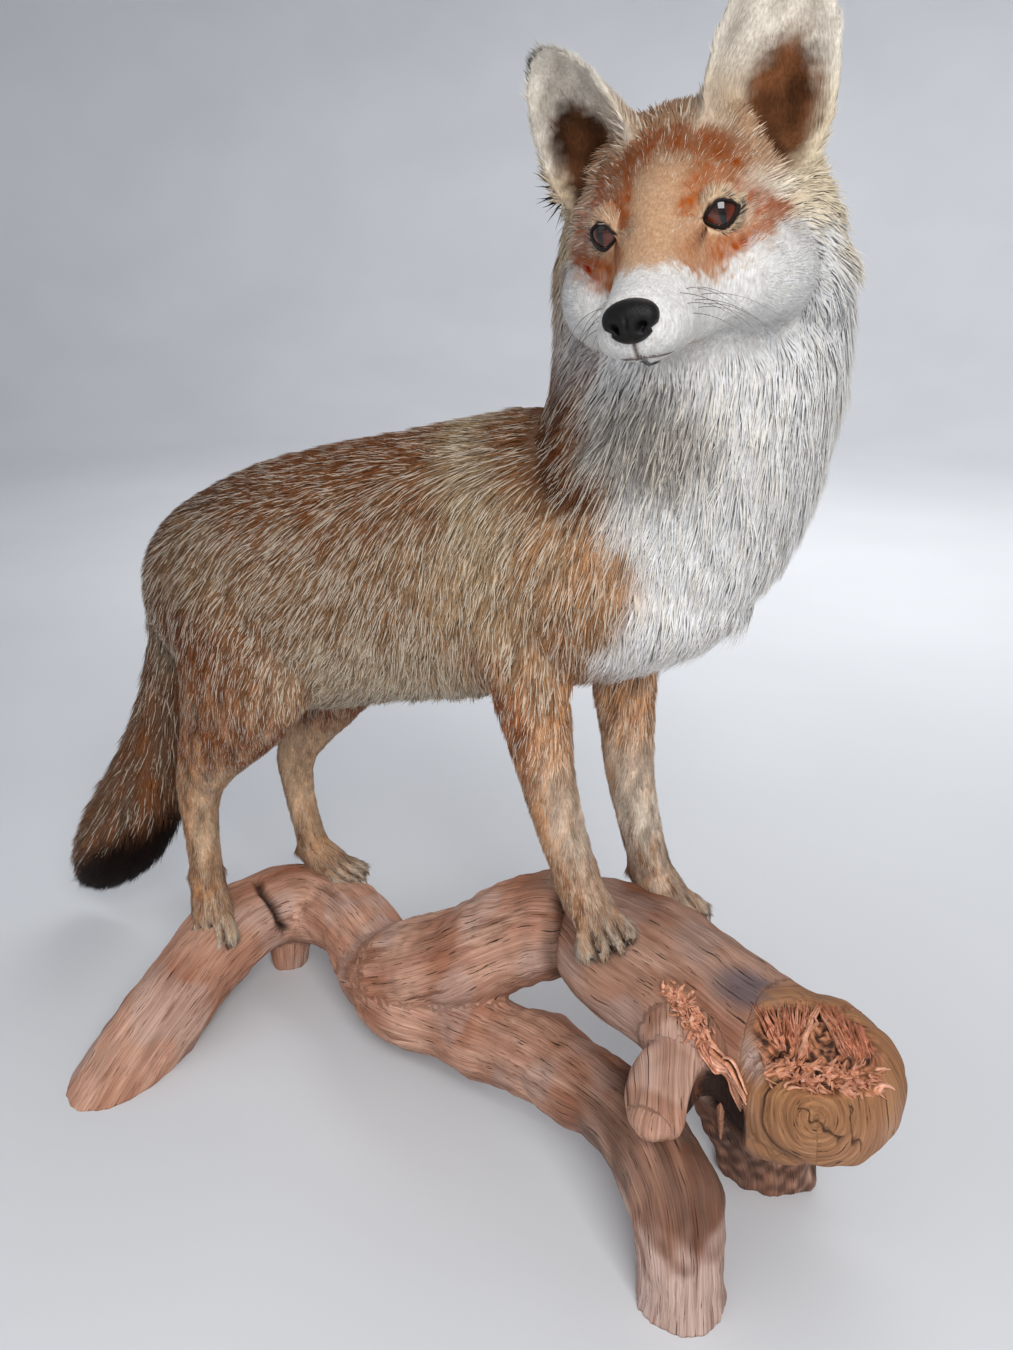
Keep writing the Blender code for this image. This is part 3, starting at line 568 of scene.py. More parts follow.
def nearest(points, cloud):
    """Distance to the nearest cloud point and its index, for each point."""
    reach = np.full(len(points), np.inf)
    index = np.zeros(len(points), int)
    margin = 0.06
    close = np.nonzero(((points > cloud.min(0) - margin)
                        & (points < cloud.max(0) + margin)).all(1))[0]
    lengths = (cloud ** 2).sum(1)
    for start in range(0, len(close), 4096):
        rows = close[start:start + 4096]
        square = lengths - 2 * points[rows] @ cloud.T
        best = square.argmin(1)
        found = square[np.arange(len(rows)), best] + (points[rows] ** 2).sum(1)
        index[rows] = best
        reach[rows] = np.sqrt(np.maximum(found, 0))
    return reach, index


# ---- the body's parts -------------------------------------------------------
class Part:
    """A named part of the body: its closed shapes and the frame along its middle line."""

    def __init__(self, rings, centres, ways, sides, lumps=()):
        self.shells = [shell(rings)] + [shell(lump) for lump in lumps]
        self.centres = centres
        self.ways, self.sides = (np.broadcast_to(np.asarray(rows, float), centres.shape)
                                 for rows in (ways, sides))
        self.rises = np.cross(self.ways, self.sides)
        steps = np.linalg.norm(np.diff(centres, axis=0), axis=1)
        self.arc = np.r_[0.0, np.cumsum(steps)]
        clouds = [rings.reshape(-1, 3)] + [lump.reshape(-1, 3) for lump in lumps]
        self.cloud = np.vstack(clouds)
        self.ring_of = np.repeat(np.arange(len(rings)), rings.shape[1])
        if lumps:
            rest = np.vstack(clouds[1:])
            square = ((rest[:, None] - centres[None]) ** 2).sum(2)
            self.ring_of = np.r_[self.ring_of, square.argmin(1)]

    def place(self, points, index):
        """Where points lie: distance along the middle line, turn round it, and its ring."""
        ring = self.ring_of[index]
        offset = points - self.centres[ring]
        along = self.arc[ring] + (offset * self.ways[ring]).sum(1)
        around = np.arctan2((offset * self.rises[ring]).sum(1),
                            (offset * self.sides[ring]).sum(1))
        return along, around, ring


def ear_part(name):
    """A cupped ear that opens forward and outward."""
    side, base, tip = EARS[name]
    mirror = np.array([1, side, 1])
    base, tip = on_head(np.array(base) * mirror), on_head(np.array(tip) * mirror)
    along = unit(tip - base)
    start = base - along * EAR_BURIED
    length = np.linalg.norm(tip - start)
    facing = (HEAD_AXES[0] * math.cos(EAR_FACING)
              + HEAD_AXES[1] * (side * math.sin(EAR_FACING)))
    facing = unit(facing - along * facing.dot(along))
    across = np.cross(along, facing)
    arc = np.linspace(-1, 1, RING_POINTS // 2)[:, None]
    rings, centres = [], []
    for share, half, opening, thick in smooth_rows(EAR, 5):
        reach = math.radians(opening)
        radius = half / math.sin(reach)
        middle = start + along * (length * share) + facing * (radius * math.cos(reach))
        walls = [middle + across * (wall * np.sin(turn)) - facing * (wall * np.cos(turn))
                 for wall, turn in ((radius, reach * arc), (radius - thick, -reach * arc))]
        rings.append(np.vstack(walls))
        centres.append(start + along * (length * share))
    return Part(np.array(rings), np.array(centres), along, across)


def paw_axes(name):
    """A paw's toe direction, its sideways direction and the way down."""
    (ankle, heel, tip), _ = PAWS[name]
    along = unit(tip - heel)
    across = unit(np.cross(along, ankle - heel))
    down = unit(np.cross(along, across))
    return along, across, down if down[2] < 0 else -down


def toe_line(name, place):
    """Root and end of one toe of a paw."""
    (_, heel, tip), spread = PAWS[name]
    across = paw_axes(name)[1]
    reach = 1.0 - 0.22 * place * place
    return (heel + across * (spread * 0.55 * place),
            heel + (tip - heel) * reach + across * (spread * 0.86 * place))


def paw_part(name):
    """A paw: wrist and pad, with four toes."""
    ankle, heel, _ = PAWS[name][0]
    along, across, _ = paw_axes(name)
    rings, centres, ways, sides = path_rings([
        (*(ankle + (ankle - heel) * 0.8), PALM_RADIUS, PALM_RADIUS),
        (*ankle, PALM_RADIUS, PALM_RADIUS),
        (*heel, PALM_RADIUS * 1.1, PALM_RADIUS * 0.95),
        (*(heel + along * 0.012), PALM_RADIUS * 0.9, PALM_RADIUS * 0.8)])
    lumps = []
    for place in TOES:
        root, end = toe_line(name, place)
        toe = unit(end - root)
        side = unit(across - toe * across.dot(toe))
        axes = np.array([toe, side, np.cross(toe, side)])
        half = np.linalg.norm(end - root) / 2
        lumps.append(ball_rings(root + (end - root) * 0.62,
                                (half, TOE_RADIUS * 0.86, TOE_RADIUS * 0.92), axes))
        lumps.append(ball_rings(end, (TOE_RADIUS, TOE_RADIUS * 0.86, TOE_RADIUS * 0.9), axes))
    return Part(rings, centres, ways, sides, lumps)


def body_parts():
    """Every part of flesh, by name."""
    rings = trunk_rings()
    parts = {"trunk": Part(rings, rings.mean(1), (1, 0, 0), (0, 1, 0))}
    for name, stations in COLUMNS.items():
        rings = column_rings(stations)
        parts[name] = Part(rings, rings.mean(1), (0, 0, 1 if name == "neck" else -1), (1, 0, 0))
    parts["tail"] = Part(*path_rings(TAIL))
    ahead, top, bottom, half, pear = smooth_rows(HEAD).T
    zero = np.zeros_like(ahead)
    centres = on_head(np.stack([ahead, zero, (top + bottom) / 2], 1))
    rings = ovals(centres, half[:, None] * HEAD_AXES[1],
                  ((top - bottom) / 2)[:, None] * HEAD_AXES[2], pear)
    lumps = [ball_rings(on_head(np.array(centre) * (1, side, 1)), radii, HEAD_AXES)
             for centre, radii in HEAD_FORMS for side in (1, -1)]
    parts["head"] = Part(rings, centres, -HEAD_AXES[0], HEAD_AXES[1], lumps)
    for name in EARS:
        parts[name] = ear_part(name)
    for name in PAWS:
        parts[name] = paw_part(name)
    return parts


class Survey:
    """Which part each point belongs to, as soft weights, and where on it the point lies."""

    def __init__(self, points, normals, parts):
        self.points, self.normals, self.parts = points, normals, parts
        self.weight, self.spot, pull = {}, {}, {}
        for name, part in parts.items():
            reach, index = nearest(points, part.cloud)
            softness = 0.004 if name.startswith("ear") else 0.009
            pull[name] = np.exp(-np.minimum(reach / softness, 25.0) ** 1.5)
            self.spot[name] = part.place(points, index)
        total = sum(pull.values()) + 1e-12
        for name in parts:
            self.weight[name] = pull[name] / total
        self.local = to_head(points)
        x, z = points[:, 0], points[:, 2]
        _, top, bottom, _ = (np.interp(x, TRUNK[:, 0], column) for column in TRUNK.T)
        self.height = np.clip((z - bottom) / np.maximum(top - bottom, 1e-3), 0, 1)

    def blended(self, values):
        """Sum of one array for each part, by the parts' weights."""
        total = 0.0
        for name, value in values.items():
            weight = self.weight[name]
            total = total + (weight[:, None] * value if np.ndim(value) == 2
                             or np.shape(value) == (3,) else weight * value)
        return total


def ear_hollow(points, normals, parts, spread=1.0):
    """1 in the dark hollow of either ear, on the side that the ear opens to."""
    share = np.zeros(len(points))
    for name, (side, *_) in EARS.items():
        part = parts[name]
        facing = -part.rises[0]
        outward = part.sides[0] * np.sign(part.sides[0] @ HEAD_AXES[1]) * side
        offset = points - part.centres[0]
        reach = np.hypot((offset @ part.ways[0] - HOLLOW_AT) / (HOLLOW_HALF[0] * spread),
                         (offset @ outward - HOLLOW_OUT) / (HOLLOW_HALF[1] * spread))
        reach = reach + 0.05 * waves(points, 0.007, 43)
        inside = (1 - ease(0.62, 1.12, reach)) * ease(-0.35, 0.1, normals @ facing)
        share = np.maximum(share, inside * (np.abs(offset @ facing) < 0.045))
    return share


def toe_gaps(points, name):
    """1 in the grooves between the toes of a paw."""
    (_, heel, tip), spread = PAWS[name]
    along, across, _ = paw_axes(name)
    offset = points - heel
    place = offset @ across / (spread * 0.8)
    ahead = offset @ along
    reach = np.linalg.norm(tip - heel)
    gaps = sum(np.exp(-((place - (first + second) / 2) / 0.13) ** 2)
               for first, second in zip(TOES, TOES[1:]))
    near = np.linalg.norm(offset - along * (reach * 0.6), axis=1) < 0.036
    return gaps * ease(reach * 0.1, reach * 0.55, ahead) * near


# ---- the lie of the coat ----------------------------------------------------
def coat_flow(survey):
    """The direction in which the coat lies, before it is laid on the skin."""
    points, local = survey.points, survey.local
    x = points[:, 0]
    front = ease(-0.12, 0.05, x)
    top = ease(0.72, 0.98, survey.height)
    side = mixed(np.array([-0.7, 0.0, -0.71]), np.array([-0.16, 0.0, -0.98]), front)
    flow = {"trunk": mixed(side, np.array([-1.0, 0.0, -0.1]), top)}
    neck = COLUMNS["neck"]
    nape = 1 - ease(-0.055, 0.015, x - np.interp(points[:, 2], neck[:, 2], neck[:, 0]))
    flow["neck"] = mixed(np.array([-0.14, 0.0, -0.99]), np.array([-0.62, 0.0, -0.78]), nape)
    away = unit(local - np.array([0.105, 0.0, -0.018]))
    ruff = (1 - ease(-0.06, -0.015, local[:, 0])) * (1 - ease(-0.02, 0.03, local[:, 2]))
    away[:, 2] -= 0.75 * ruff
    away[:, 0] += 0.25 * ruff
    flow["head"] = unit(away) @ HEAD_AXES
    for name in survey.parts:
        if name.startswith(("foreleg", "hindleg")):
            flow[name] = np.array([-0.12, 0.0, -1.0])
        elif name.startswith("ear"):
            flow[name] = survey.parts[name].ways[0]
        elif name.startswith(("forepaw", "hindpaw")):
            flow[name] = paw_axes(name)[0]
        elif name == "tail":
            flow[name] = survey.parts[name].ways[survey.spot[name][2]]
    return survey.blended({name: np.broadcast_to(value, (len(points), 3))
                           for name, value in flow.items()})


def coat_size(survey):
    """Length of the coat and the angle at which it leaves the skin, for each point."""
    local = survey.local
    ahead, up = local[:, 0], local[:, 2]
    belly = 1 - ease(0.0, 0.35, survey.height)
    length = {"trunk": 0.021 + 0.011 * belly, "neck": 0.029}
    lift = {"trunk": 21 + 7 * belly, "neck": 20.0, "tail": 31.0}
    along = survey.spot["tail"][0]
    length["tail"] = 0.022 + 0.022 * ease(0.02, 0.16, along) - 0.016 * ease(0.27, 0.36, along)
    muzzle = ease(-0.012, 0.022, ahead)
    ruff = (1 - ease(-0.058, -0.008, ahead)) * (1 - ease(-0.012, 0.028, up))
    crown = (1 - ease(-0.06, -0.01, ahead)) * ease(0.0, 0.03, up)
    length["head"] = 0.0072 - 0.0032 * muzzle + 0.015 * ruff + 0.0035 * crown
    lift["head"] = 17 - 3 * muzzle + 8 * ruff + 3 * crown
    for name in survey.parts:
        if name.startswith(("foreleg", "hindleg")):
            upper = 1 - ease(0.02, 0.17, survey.spot[name][0])
            length[name] = 0.0096 + 0.0114 * upper
            lift[name] = 23 + 1 * upper
        elif name.startswith("ear"):
            length[name] = 0.007
            lift[name] = 11.0
        elif name.startswith(("forepaw", "hindpaw")):
            length[name] = 0.01
            lift[name] = 26.0
    length = survey.blended(length) * bpy.context.scene.fox_sizes.length_scale
    near_ear = ear_hollow(survey.points, survey.normals, survey.parts, 1.5)
    length = np.minimum(length, 0.031 - 0.0235 * near_ear)
    return length, np.radians(survey.blended(lift))


def ridge(flat, line, width):
    """1 on a line through 2-D points, falling off within this width."""
    line = np.array(line)
    reach = np.full(len(flat), np.inf)
    for start, end in zip(line, line[1:]):
        span = end - start
        share = np.clip((flat - start) @ span / span.dot(span), 0, 1)
        reach = np.minimum(reach, np.linalg.norm(flat - start - share[:, None] * span, axis=1))
    return np.exp(-(reach / width) ** 2)


def eye_frame(side):
    """Centre of an eye, and its gaze, outward and upward directions, tilted with the lids."""
    centre = on_head(np.array(EYE_CENTRE) * (1, side, 1))
    forward, left, up = HEAD_AXES
    gaze = forward * math.cos(GAZE_OUT) + left * (side * math.sin(GAZE_OUT))
    out = left * (side * math.cos(GAZE_OUT)) - forward * math.sin(GAZE_OUT)
    outward = out * math.cos(LID_TILT) + up * math.sin(LID_TILT)
    upward = up * math.cos(LID_TILT) - out * math.sin(LID_TILT)
    return centre, gaze, outward, upward


def eye_measure(points, side):
    """Offset from an eye's centre, and how far out of its opening a point lies (1 = on it)."""
    centre, gaze, outward, upward = eye_frame(side)
    offset = points - centre
    ahead, out, up = offset @ gaze, offset @ outward, offset @ upward
    wide = np.arctan2(out, np.maximum(ahead, 1e-5)) / LID_HALF_WIDE
    high = np.arctan2(up, np.maximum(ahead, 1e-5)) / LID_HALF_HIGH
    almond = np.sqrt(wide ** 2 + (high * (1 + ALMOND * wide ** 2)) ** 2)
    return offset, np.where(ahead > 0, almond, 9.0)


def head_markings(survey):
    """Colour and share of light-tipped hair on the head."""
    local = survey.local
    ahead, across, up = local[:, 0], np.abs(local[:, 1]), local[:, 2]
    wobble = waves(survey.points, 0.012, 5) * 0.0016
    tone = blend("fawn", "forehead",
                 (1 - ease(-0.02, 0.004, ahead)) * ease(0.008, 0.02, up))
    tone = toned(tone, "temple", ease(0.024, 0.038, across + wobble)
                 * ease(-0.008, 0.002, up) * (1 - 0.9 * ease(0.002, 0.014, up)))
    tone = toned(tone, "cream", ease(0.044, 0.056, across))
    tone = toned(tone, "fawn", 0.65 * ease(0.008, 0.022, up) * ease(0.024, 0.034, across))
    # the muzzle is white but for its bridge, and the cheeks are white below the eyes
    bridge = (1 - ease(0.007, 0.014, across + wobble)) * (1 - ease(0.034, 0.044, ahead + wobble))
    side_line = np.interp(ahead, [-0.06, -0.03, -0.012, 0.0, 0.012, 0.024, 0.034],
                          [-0.014, -0.012, -0.01, -0.0185, -0.025, -0.024, -0.012])
    ragged = wobble + 0.0022 * waves(survey.points, 0.0045, 6)
    pale = 1 - ease(-0.006, 0.006, up - side_line + ragged)
    pale = np.maximum(pale, ease(0.03, 0.046, ahead + ragged)) * (1 - bridge * 0.9)
    tone = toned(tone, "muzzle", pale)
    ruff = (1 - ease(-0.056, -0.034, ahead)) * ease(0.04, 0.056, across)
    tone = toned(tone, "cream", 0.85 * ruff * ease(-0.046, -0.03, up))
    # rust: brow arc, patch under the eye, side of the muzzle, band across the crown
    face = np.stack([across, up], 1)
    front = ease(-0.05, -0.03, ahead) * (1 - ease(0.01, 0.018, ahead))
    brow = ridge(face, [(0.011, 0.002), (0.014, 0.0065), (0.019, 0.0092), (0.027, 0.0074),
                        (0.0345, 0.0018), (0.045, -0.007)], 0.0036) * front
    brow = np.maximum(brow, 0.8 * ridge(face, [(0.015, 0.014), (0.029, 0.013)], 0.004) * front)
    under = ridge(face, [(0.044, -0.007), (0.037, -0.0125), (0.028, -0.016)], 0.0036) * front
    muzzle = blob(np.stack([ahead, up], 1), (0.014, -0.014), (0.027, 0.016))
    muzzle *= ease(0.007, 0.016, across) * (1 - pale)
    crown = np.exp(-((ahead + 0.018 + wobble * 2.4) / 0.008) ** 2) * ease(0.01, 0.02, up)
    crown *= 1 - ease(0.026, 0.038, across)
    # the right side, the one in shade, is the darker one: a streak inside the eye and a deep patch
    # below it, partly rust markings and partly painted shade
    right = ease(0.0, 0.01, -local[:, 1])
    streak = ridge(np.stack([across, ahead], 1), [(0.0155, -0.01), (0.015, 0.004),
                                                  (0.0165, 0.024)], 0.0024) * ease(-0.02, 0.0, up)
    deep = ridge(face, [(0.033, 0.011), (0.042, 0.003), (0.044, -0.01),
                        (0.033, -0.019), (0.02, -0.023)], 0.0052) * front
    rust = np.clip(1.05 * brow + 0.75 * under + 0.5 * muzzle + crown
                   + right * (0.8 * streak + 0.85 * deep), 0, 1)
    tone = toned(tone, "rust", rust * (0.85 + 0.15 * waves(survey.points, 0.006, 8)))
    tone = toned(tone, "stripe", 0.25 * crown)
    for side in (1, -1):
        _, measure = eye_measure(survey.points, side)
        near = np.linalg.norm(survey.points - eye_frame(side)[0], axis=1) < 0.021
        ring = np.exp(-((measure - 1.32) / 0.17) ** 2) * near
        # the cream ring is fainter round the right eye: partly painted shade on that side
        tone = toned(tone, "cream", (0.55 if side > 0 else 0.2) * ring)
        tone = toned(tone, "lid", (1 - ease(1.02, 1.12, measure)) * near)
    nape_start = ahead - 0.016 * (1 - ease(0.025, 0.04, across))
    nape = (1 - ease(-0.072, -0.046, nape_start)) * ease(-0.03, 0.0, up)
    tone = mixed(tone, blend("flank", "back", 0.55), nape)
    throat = (1 - ease(-0.062, -0.05, up)) * (1 - ease(0.0, 0.03, ahead))
    tone = toned(tone, "chest", throat)
    return tone, (0.1 + 0.14 * (1 - pale)) * (1 - rust)


def trunk_markings(survey):
    """Colour and share of light-tipped hair on the trunk."""
    points, height = survey.points, survey.height
    x, z = points[:, 0], points[:, 2]
    drift = waves(points * (1, 1, 0.6), 0.035, 11)
    spine = ease(0.6, 0.96, height + 0.05 * drift)
    tone = blend("flank", "back", 0.3 + 0.7 * spine)
    rump = 1 - ease(-0.21, -0.09, x + 0.01 * drift)
    tone = mixed(tone, blend("back", "smoke", 0.25), 0.55 * rump)
    tone = tone * (0.9 - 0.3 * rump)[:, None]
    low = 1 - ease(0.1, 0.46, height + 0.04 * drift)
    tone = toned(tone, "cream", 0.5 * low)
    tone = toned(tone, "belly", 1 - ease(0.02, 0.18, height))
    middle = np.interp(z, [0.35, 0.39, 0.44, 0.467, 0.49], [0.046, 0.058, 0.066, 0.05, 0.026])
    band = np.exp(-((x - middle) / 0.026) ** 2) * ease(0.15, 0.5, height)
    tone = toned(tone, "band", 0.8 * band)
    return tone, 0.75 - 0.25 * spine


FAR_SIDE = np.array([-0.36, 0.93, -0.1])        # the way that the sandy left side faces


def neck_markings(survey):
    """Colour and share of light-tipped hair on neck, chest and shoulder."""
    points = survey.points
    x, y, z = points.T
    drift = waves(points, 0.028, 17)
    nape = blend("back", "flank", np.clip(0.25 + 0.3 * drift, 0, 1)) * 0.88
    shoulder = blend("flank", "leg", np.clip(0.45 + 0.3 * drift, 0, 1))
    shoulder = toned(shoulder, "back", 0.45 * (1 - ease(0.38, 0.45, z)))
    tone = mixed(shoulder, nape, ease(0.44, 0.49, z))
    line = np.interp(z, [0.365, 0.382, 0.406, 0.429, 0.448, 0.473, 0.487, 0.509, 0.56, 0.61],
                     [0.13, 0.142, 0.156, 0.163, 0.15, 0.136, 0.128, 0.122, 0.132, 0.122])
    pale = ease(-0.012, 0.012, x - line + 0.004 * drift)
    pale = np.maximum(pale, ease(0.02, 0.06, y) * ease(0.1, 0.135, x))
    pale = pale * (1 - ease(0.1, 0.6, survey.normals @ FAR_SIDE + 0.12 * drift))
    pale = pale * (1 - ease(0.1, 0.5, survey.normals[:, 2]))      # nor on top of the neck
    # the lower chest is white, and its left side is made whiter than the rest as painted light
    chest = blend("chest", "white",
                  np.maximum(1 - ease(0.39, 0.47, z), 0.85 * ease(-0.01, 0.03, y)))
    # painted shade under the chin, over the grey-brown underfur that shows there
    under_chin = blob(points, EYES_MIDDLE + np.array([-0.012, 0.012, -0.09]),
                      (0.06, 0.07, 0.04))
    chest = mixed(chest, colour("smoke") * 0.8, 0.85 * under_chin)
    left_ruff = ease(0.0, 0.03, y) * ease(0.49, 0.54, z)
    chest = toned(chest, "cream", 0.75 * left_ruff)
    tone = mixed(tone, chest, pale)
    stripe = ridge(np.stack([x, z], 1), [(0.118, 0.552), (0.106, 0.522), (0.094, 0.5),
                                         (0.095, 0.484), (0.106, 0.468), (0.126, 0.469)], 0.015)
    stripe *= 1 - ease(0.5, 0.53, z) * ease(-0.02, 0.01, y)
    tone = toned(tone, "stripe", 0.85 * stripe * (1 - pale))
    return tone, (0.45 + 0.1 * pale) * (1 - 0.8 * left_ruff), stripe


def coat_markings(survey):
    """Colour of the coat and its share of light-tipped hair, the same on skin and coat."""
    points, spot = survey.points, survey.spot
    tones, light = {}, {}
    tones["head"], light["head"] = head_markings(survey)
    tones["trunk"], light["trunk"] = trunk_markings(survey)
    tones["neck"], light["neck"], stripe = neck_markings(survey)
    tones["trunk"] = mixed(tones["trunk"], tones["neck"], ease(0.075, 0.115, points[:, 0]))
    tones["trunk"] = toned(tones["trunk"], "stripe",
                           0.6 * stripe * (1 - ease(0.1, 0.14, points[:, 0])))
    drift = waves(points, 0.02, 23)
    grey = blend("tail", "back", np.clip(0.3 + 0.25 * drift, 0, 1))
    end = points[:, 2] * 0.824 - points[:, 0] * 0.565    # across the slanted tip
    black = 1 - ease(0.272, 0.298, end + 0.005 * drift)
    tones["tail"] = toned(grey, "tip", black)
    light["tail"] = 0.25 * (1 - black)
    for name in survey.parts:
        if name.startswith(("foreleg", "hindleg")):
            along = spot[name][0]
            z = points[:, 2]
            hind = name.startswith("hind")
            upper = blend("leg", "flank", 1 - ease(0.02, 0.09, along))
            outer = 1 if "left" in name else -1
            behind = ease(-0.3, 0.8, survey.normals @ unit(np.array([-0.9, 0.45 * outer, 0.0])))
            mottle = waves(points * (1, 1, 0.5), 0.013, 36)
            fair = blend("cream", "chest", 0.1 if hind else 0.5)
            most = {"foreleg_left": 0.8, "foreleg_right": 0.6}.get(name, 0.4)
            tone = mixed(upper, fair, most * np.clip(1 - behind + 0.25 * mottle, 0, 1)
                         * ease(0.08, 0.18, along))
            red = blend("rust", "stripe", 0.5)
            high = ease(0.255, 0.33, z)
            tone = mixed(tone, red, np.clip((0.3 + 0.45 * high) * behind + 0.2 * high
                                            + 0.12 * mottle, 0, 1) * (1 - ease(0.34, 0.39, z)))
            if hind:
                hock = (1 - ease(0.262, 0.3, z)) * ease(0.212, 0.24, z)
                tone = mixed(tone, red, 0.9 * hock * np.clip(0.8 + 0.3 * drift, 0, 1))
                tone = mixed(tone, red, 0.45 * high * (1 - ease(0.33, 0.37, z)))
                tone = tone * (0.88 - 0.2 * ease(0.26, 0.31, z))[:, None]
            tufts = waves(points * (1, 1, 0.28), 0.008, 35)
            tone = tone * (1.1 + 0.24 * tufts)[:, None]
            wrist = 1 - ease(0.115 if hind else 0.2, 0.15 if hind else 0.25, z)
            spots = ease(0.25, 0.9, waves(points, 0.01, 31)) * wrist
            tones[name] = toned(tone, "stain", 0.75 * spots)
            light[name] = 0.45
        elif name.startswith(("forepaw", "hindpaw")):
            along = spot[name][0]
            tone = blend("leg", "stain",
                         np.clip(0.35 + 0.45 * waves(points, 0.007, 33), 0, 1))
            toe = ease(0.034, 0.05, along) * np.clip(0.7 + 0.5 * waves(points, 0.006, 34), 0, 1)
            tones[name] = mixed(tone, blend("cream", "chest", 0.4),
                                0.75 * toe)
            light[name] = 0.45
        elif name.startswith("ear"):
            part = survey.parts[name]
            along, _, ring = spot[name]
            across = np.abs(((points - part.centres[ring]) * part.sides[ring]).sum(1))
            inside = (survey.normals * -part.rises[ring]).sum(1)
            share = along / part.arc[-1]
            rim = blend("ear_rim", "smoke",
                        np.clip(0.25 + 0.15 * waves(points, 0.016, 41), 0, 1))
            centre = 1 - ease(0.009, 0.018, across)
            behind = centre * ease(0.35, 0.6, share) * ease(0.5, 0.85, -inside)
            behind = behind * (1 - ease(0.62, 0.78, share))
            tone = toned(rim, "cream", 0.6 * (1 - ease(0.4, 0.62, share)))
            tones[name] = toned(tone, "ear_back", 0.6 * behind)
            light[name] = 0.2
    tone, light = survey.blended(tones), survey.blended(light)
    # painted shade: the coat darkens in the grooves between the toes
    for name in PAWS:
        tone = mixed(tone, colour("stain") * 0.5, toe_gaps(points, name))
    # the ear hollows turn dark brown: partly their own colour, partly painted shade of the cupped
    # ear
    hollow = ear_hollow(points, survey.normals, survey.parts)
    left = ease(-0.01, 0.01, survey.local[:, 1])
    hollow_tones_and_shade = np.clip(0.95 + 0.35 * waves(points, 0.016, 42), 0.5, 1.6)[:, None]
    # painted shade: the hollow of the right ear, the side in shade, is darker than the left one
    hollow_tones_and_shade = hollow_tones_and_shade * (0.62 + 0.6 * left)[:, None]
    return mixed(tone, colour("ear_hollow") * hollow_tones_and_shade, hollow), light * (1 - hollow)


# ---- materials --------------------------------------------------------------
BLACK, WHITE = (0, 0, 0, 1), (1, 1, 1, 1)


def add_node(tree, kind, settings=None, links=None, stops=()):
    """A node with its settings and colour stops, its inputs set to values or linked."""
    node = tree.nodes.new(kind)
    for key, value in (settings or {}).items():
        setattr(node, key, value)
    for index, (place, value) in enumerate(stops):
        points = node.color_ramp.elements
        point = points[index] if index < len(points) else points.new(place)
        point.position = place
        point.color = value
    for key, value in (links or {}).items():
        socket = node.inputs[key]
        if isinstance(value, bpy.types.NodeSocket):
            tree.links.new(value, socket)
        else:
            socket.default_value = value
    return node


def new_material(name, **constants):
    """A material and its nodes, with the sockets set that are the same all over it."""
    made = bpy.data.materials.new(name)
    made.use_nodes = True
    shader = made.node_tree.nodes["Principled BSDF"]
    for key, value in constants.items():
        shader.inputs[key.replace("_", " ")].default_value = value
    return made, made.node_tree


def dressed(material, tone, height=None, strength=0.0, distance=0.0):
    """A material with its colour and, where a height is given, its bump linked in."""
    tree = material.node_tree
    shader = tree.nodes["Principled BSDF"]
    tree.links.new(tone, shader.inputs["Base Color"])
    if height is not None:
        bump = add_node(tree, "ShaderNodeBump", links={
            "Height": height, "Strength": strength, "Distance": distance})
        tree.links.new(bump.outputs["Normal"], shader.inputs["Normal"])
    return material


def rgba(key, dim=1.0):
    """A panel colour with alpha, dimmed if wished."""
    return (*(colour(key) * dim), 1.0)


def layered(tree, base, *layers):
    """A colour under layers of (way to blend, share, colour), one after another."""
    for kind, share, tone in layers:
        base = add_node(tree, "ShaderNodeMix", {"data_type": "RGBA", "blend_type": kind},
                        {0: share, 6: base, 7: tone}).outputs[2]
    return base


def noise_tones(tree, vector, scale, detail, stops, roughness=0.5):
    """Colours spread over a noise pattern."""
    noise = add_node(tree, "ShaderNodeTexNoise", links={
        "Vector": vector, "Scale": scale, "Detail": detail, "Roughness": roughness})
    return add_node(tree, "ShaderNodeValToRGB", links={"Fac": noise.outputs["Fac"]},
                    stops=stops).outputs["Color"]


def mottled_material(name, key, scale, detail, dark, light, **constants):
    """A panel colour that turns darker and lighter in patches."""
    made, tree = new_material(name, **constants)
    place = add_node(tree, "ShaderNodeTexCoord").outputs["Object"]
    return dressed(made, noise_tones(tree, place, scale, detail, [
        (0.3, rgba(key, dark)), (0.7, rgba(key, light))]))


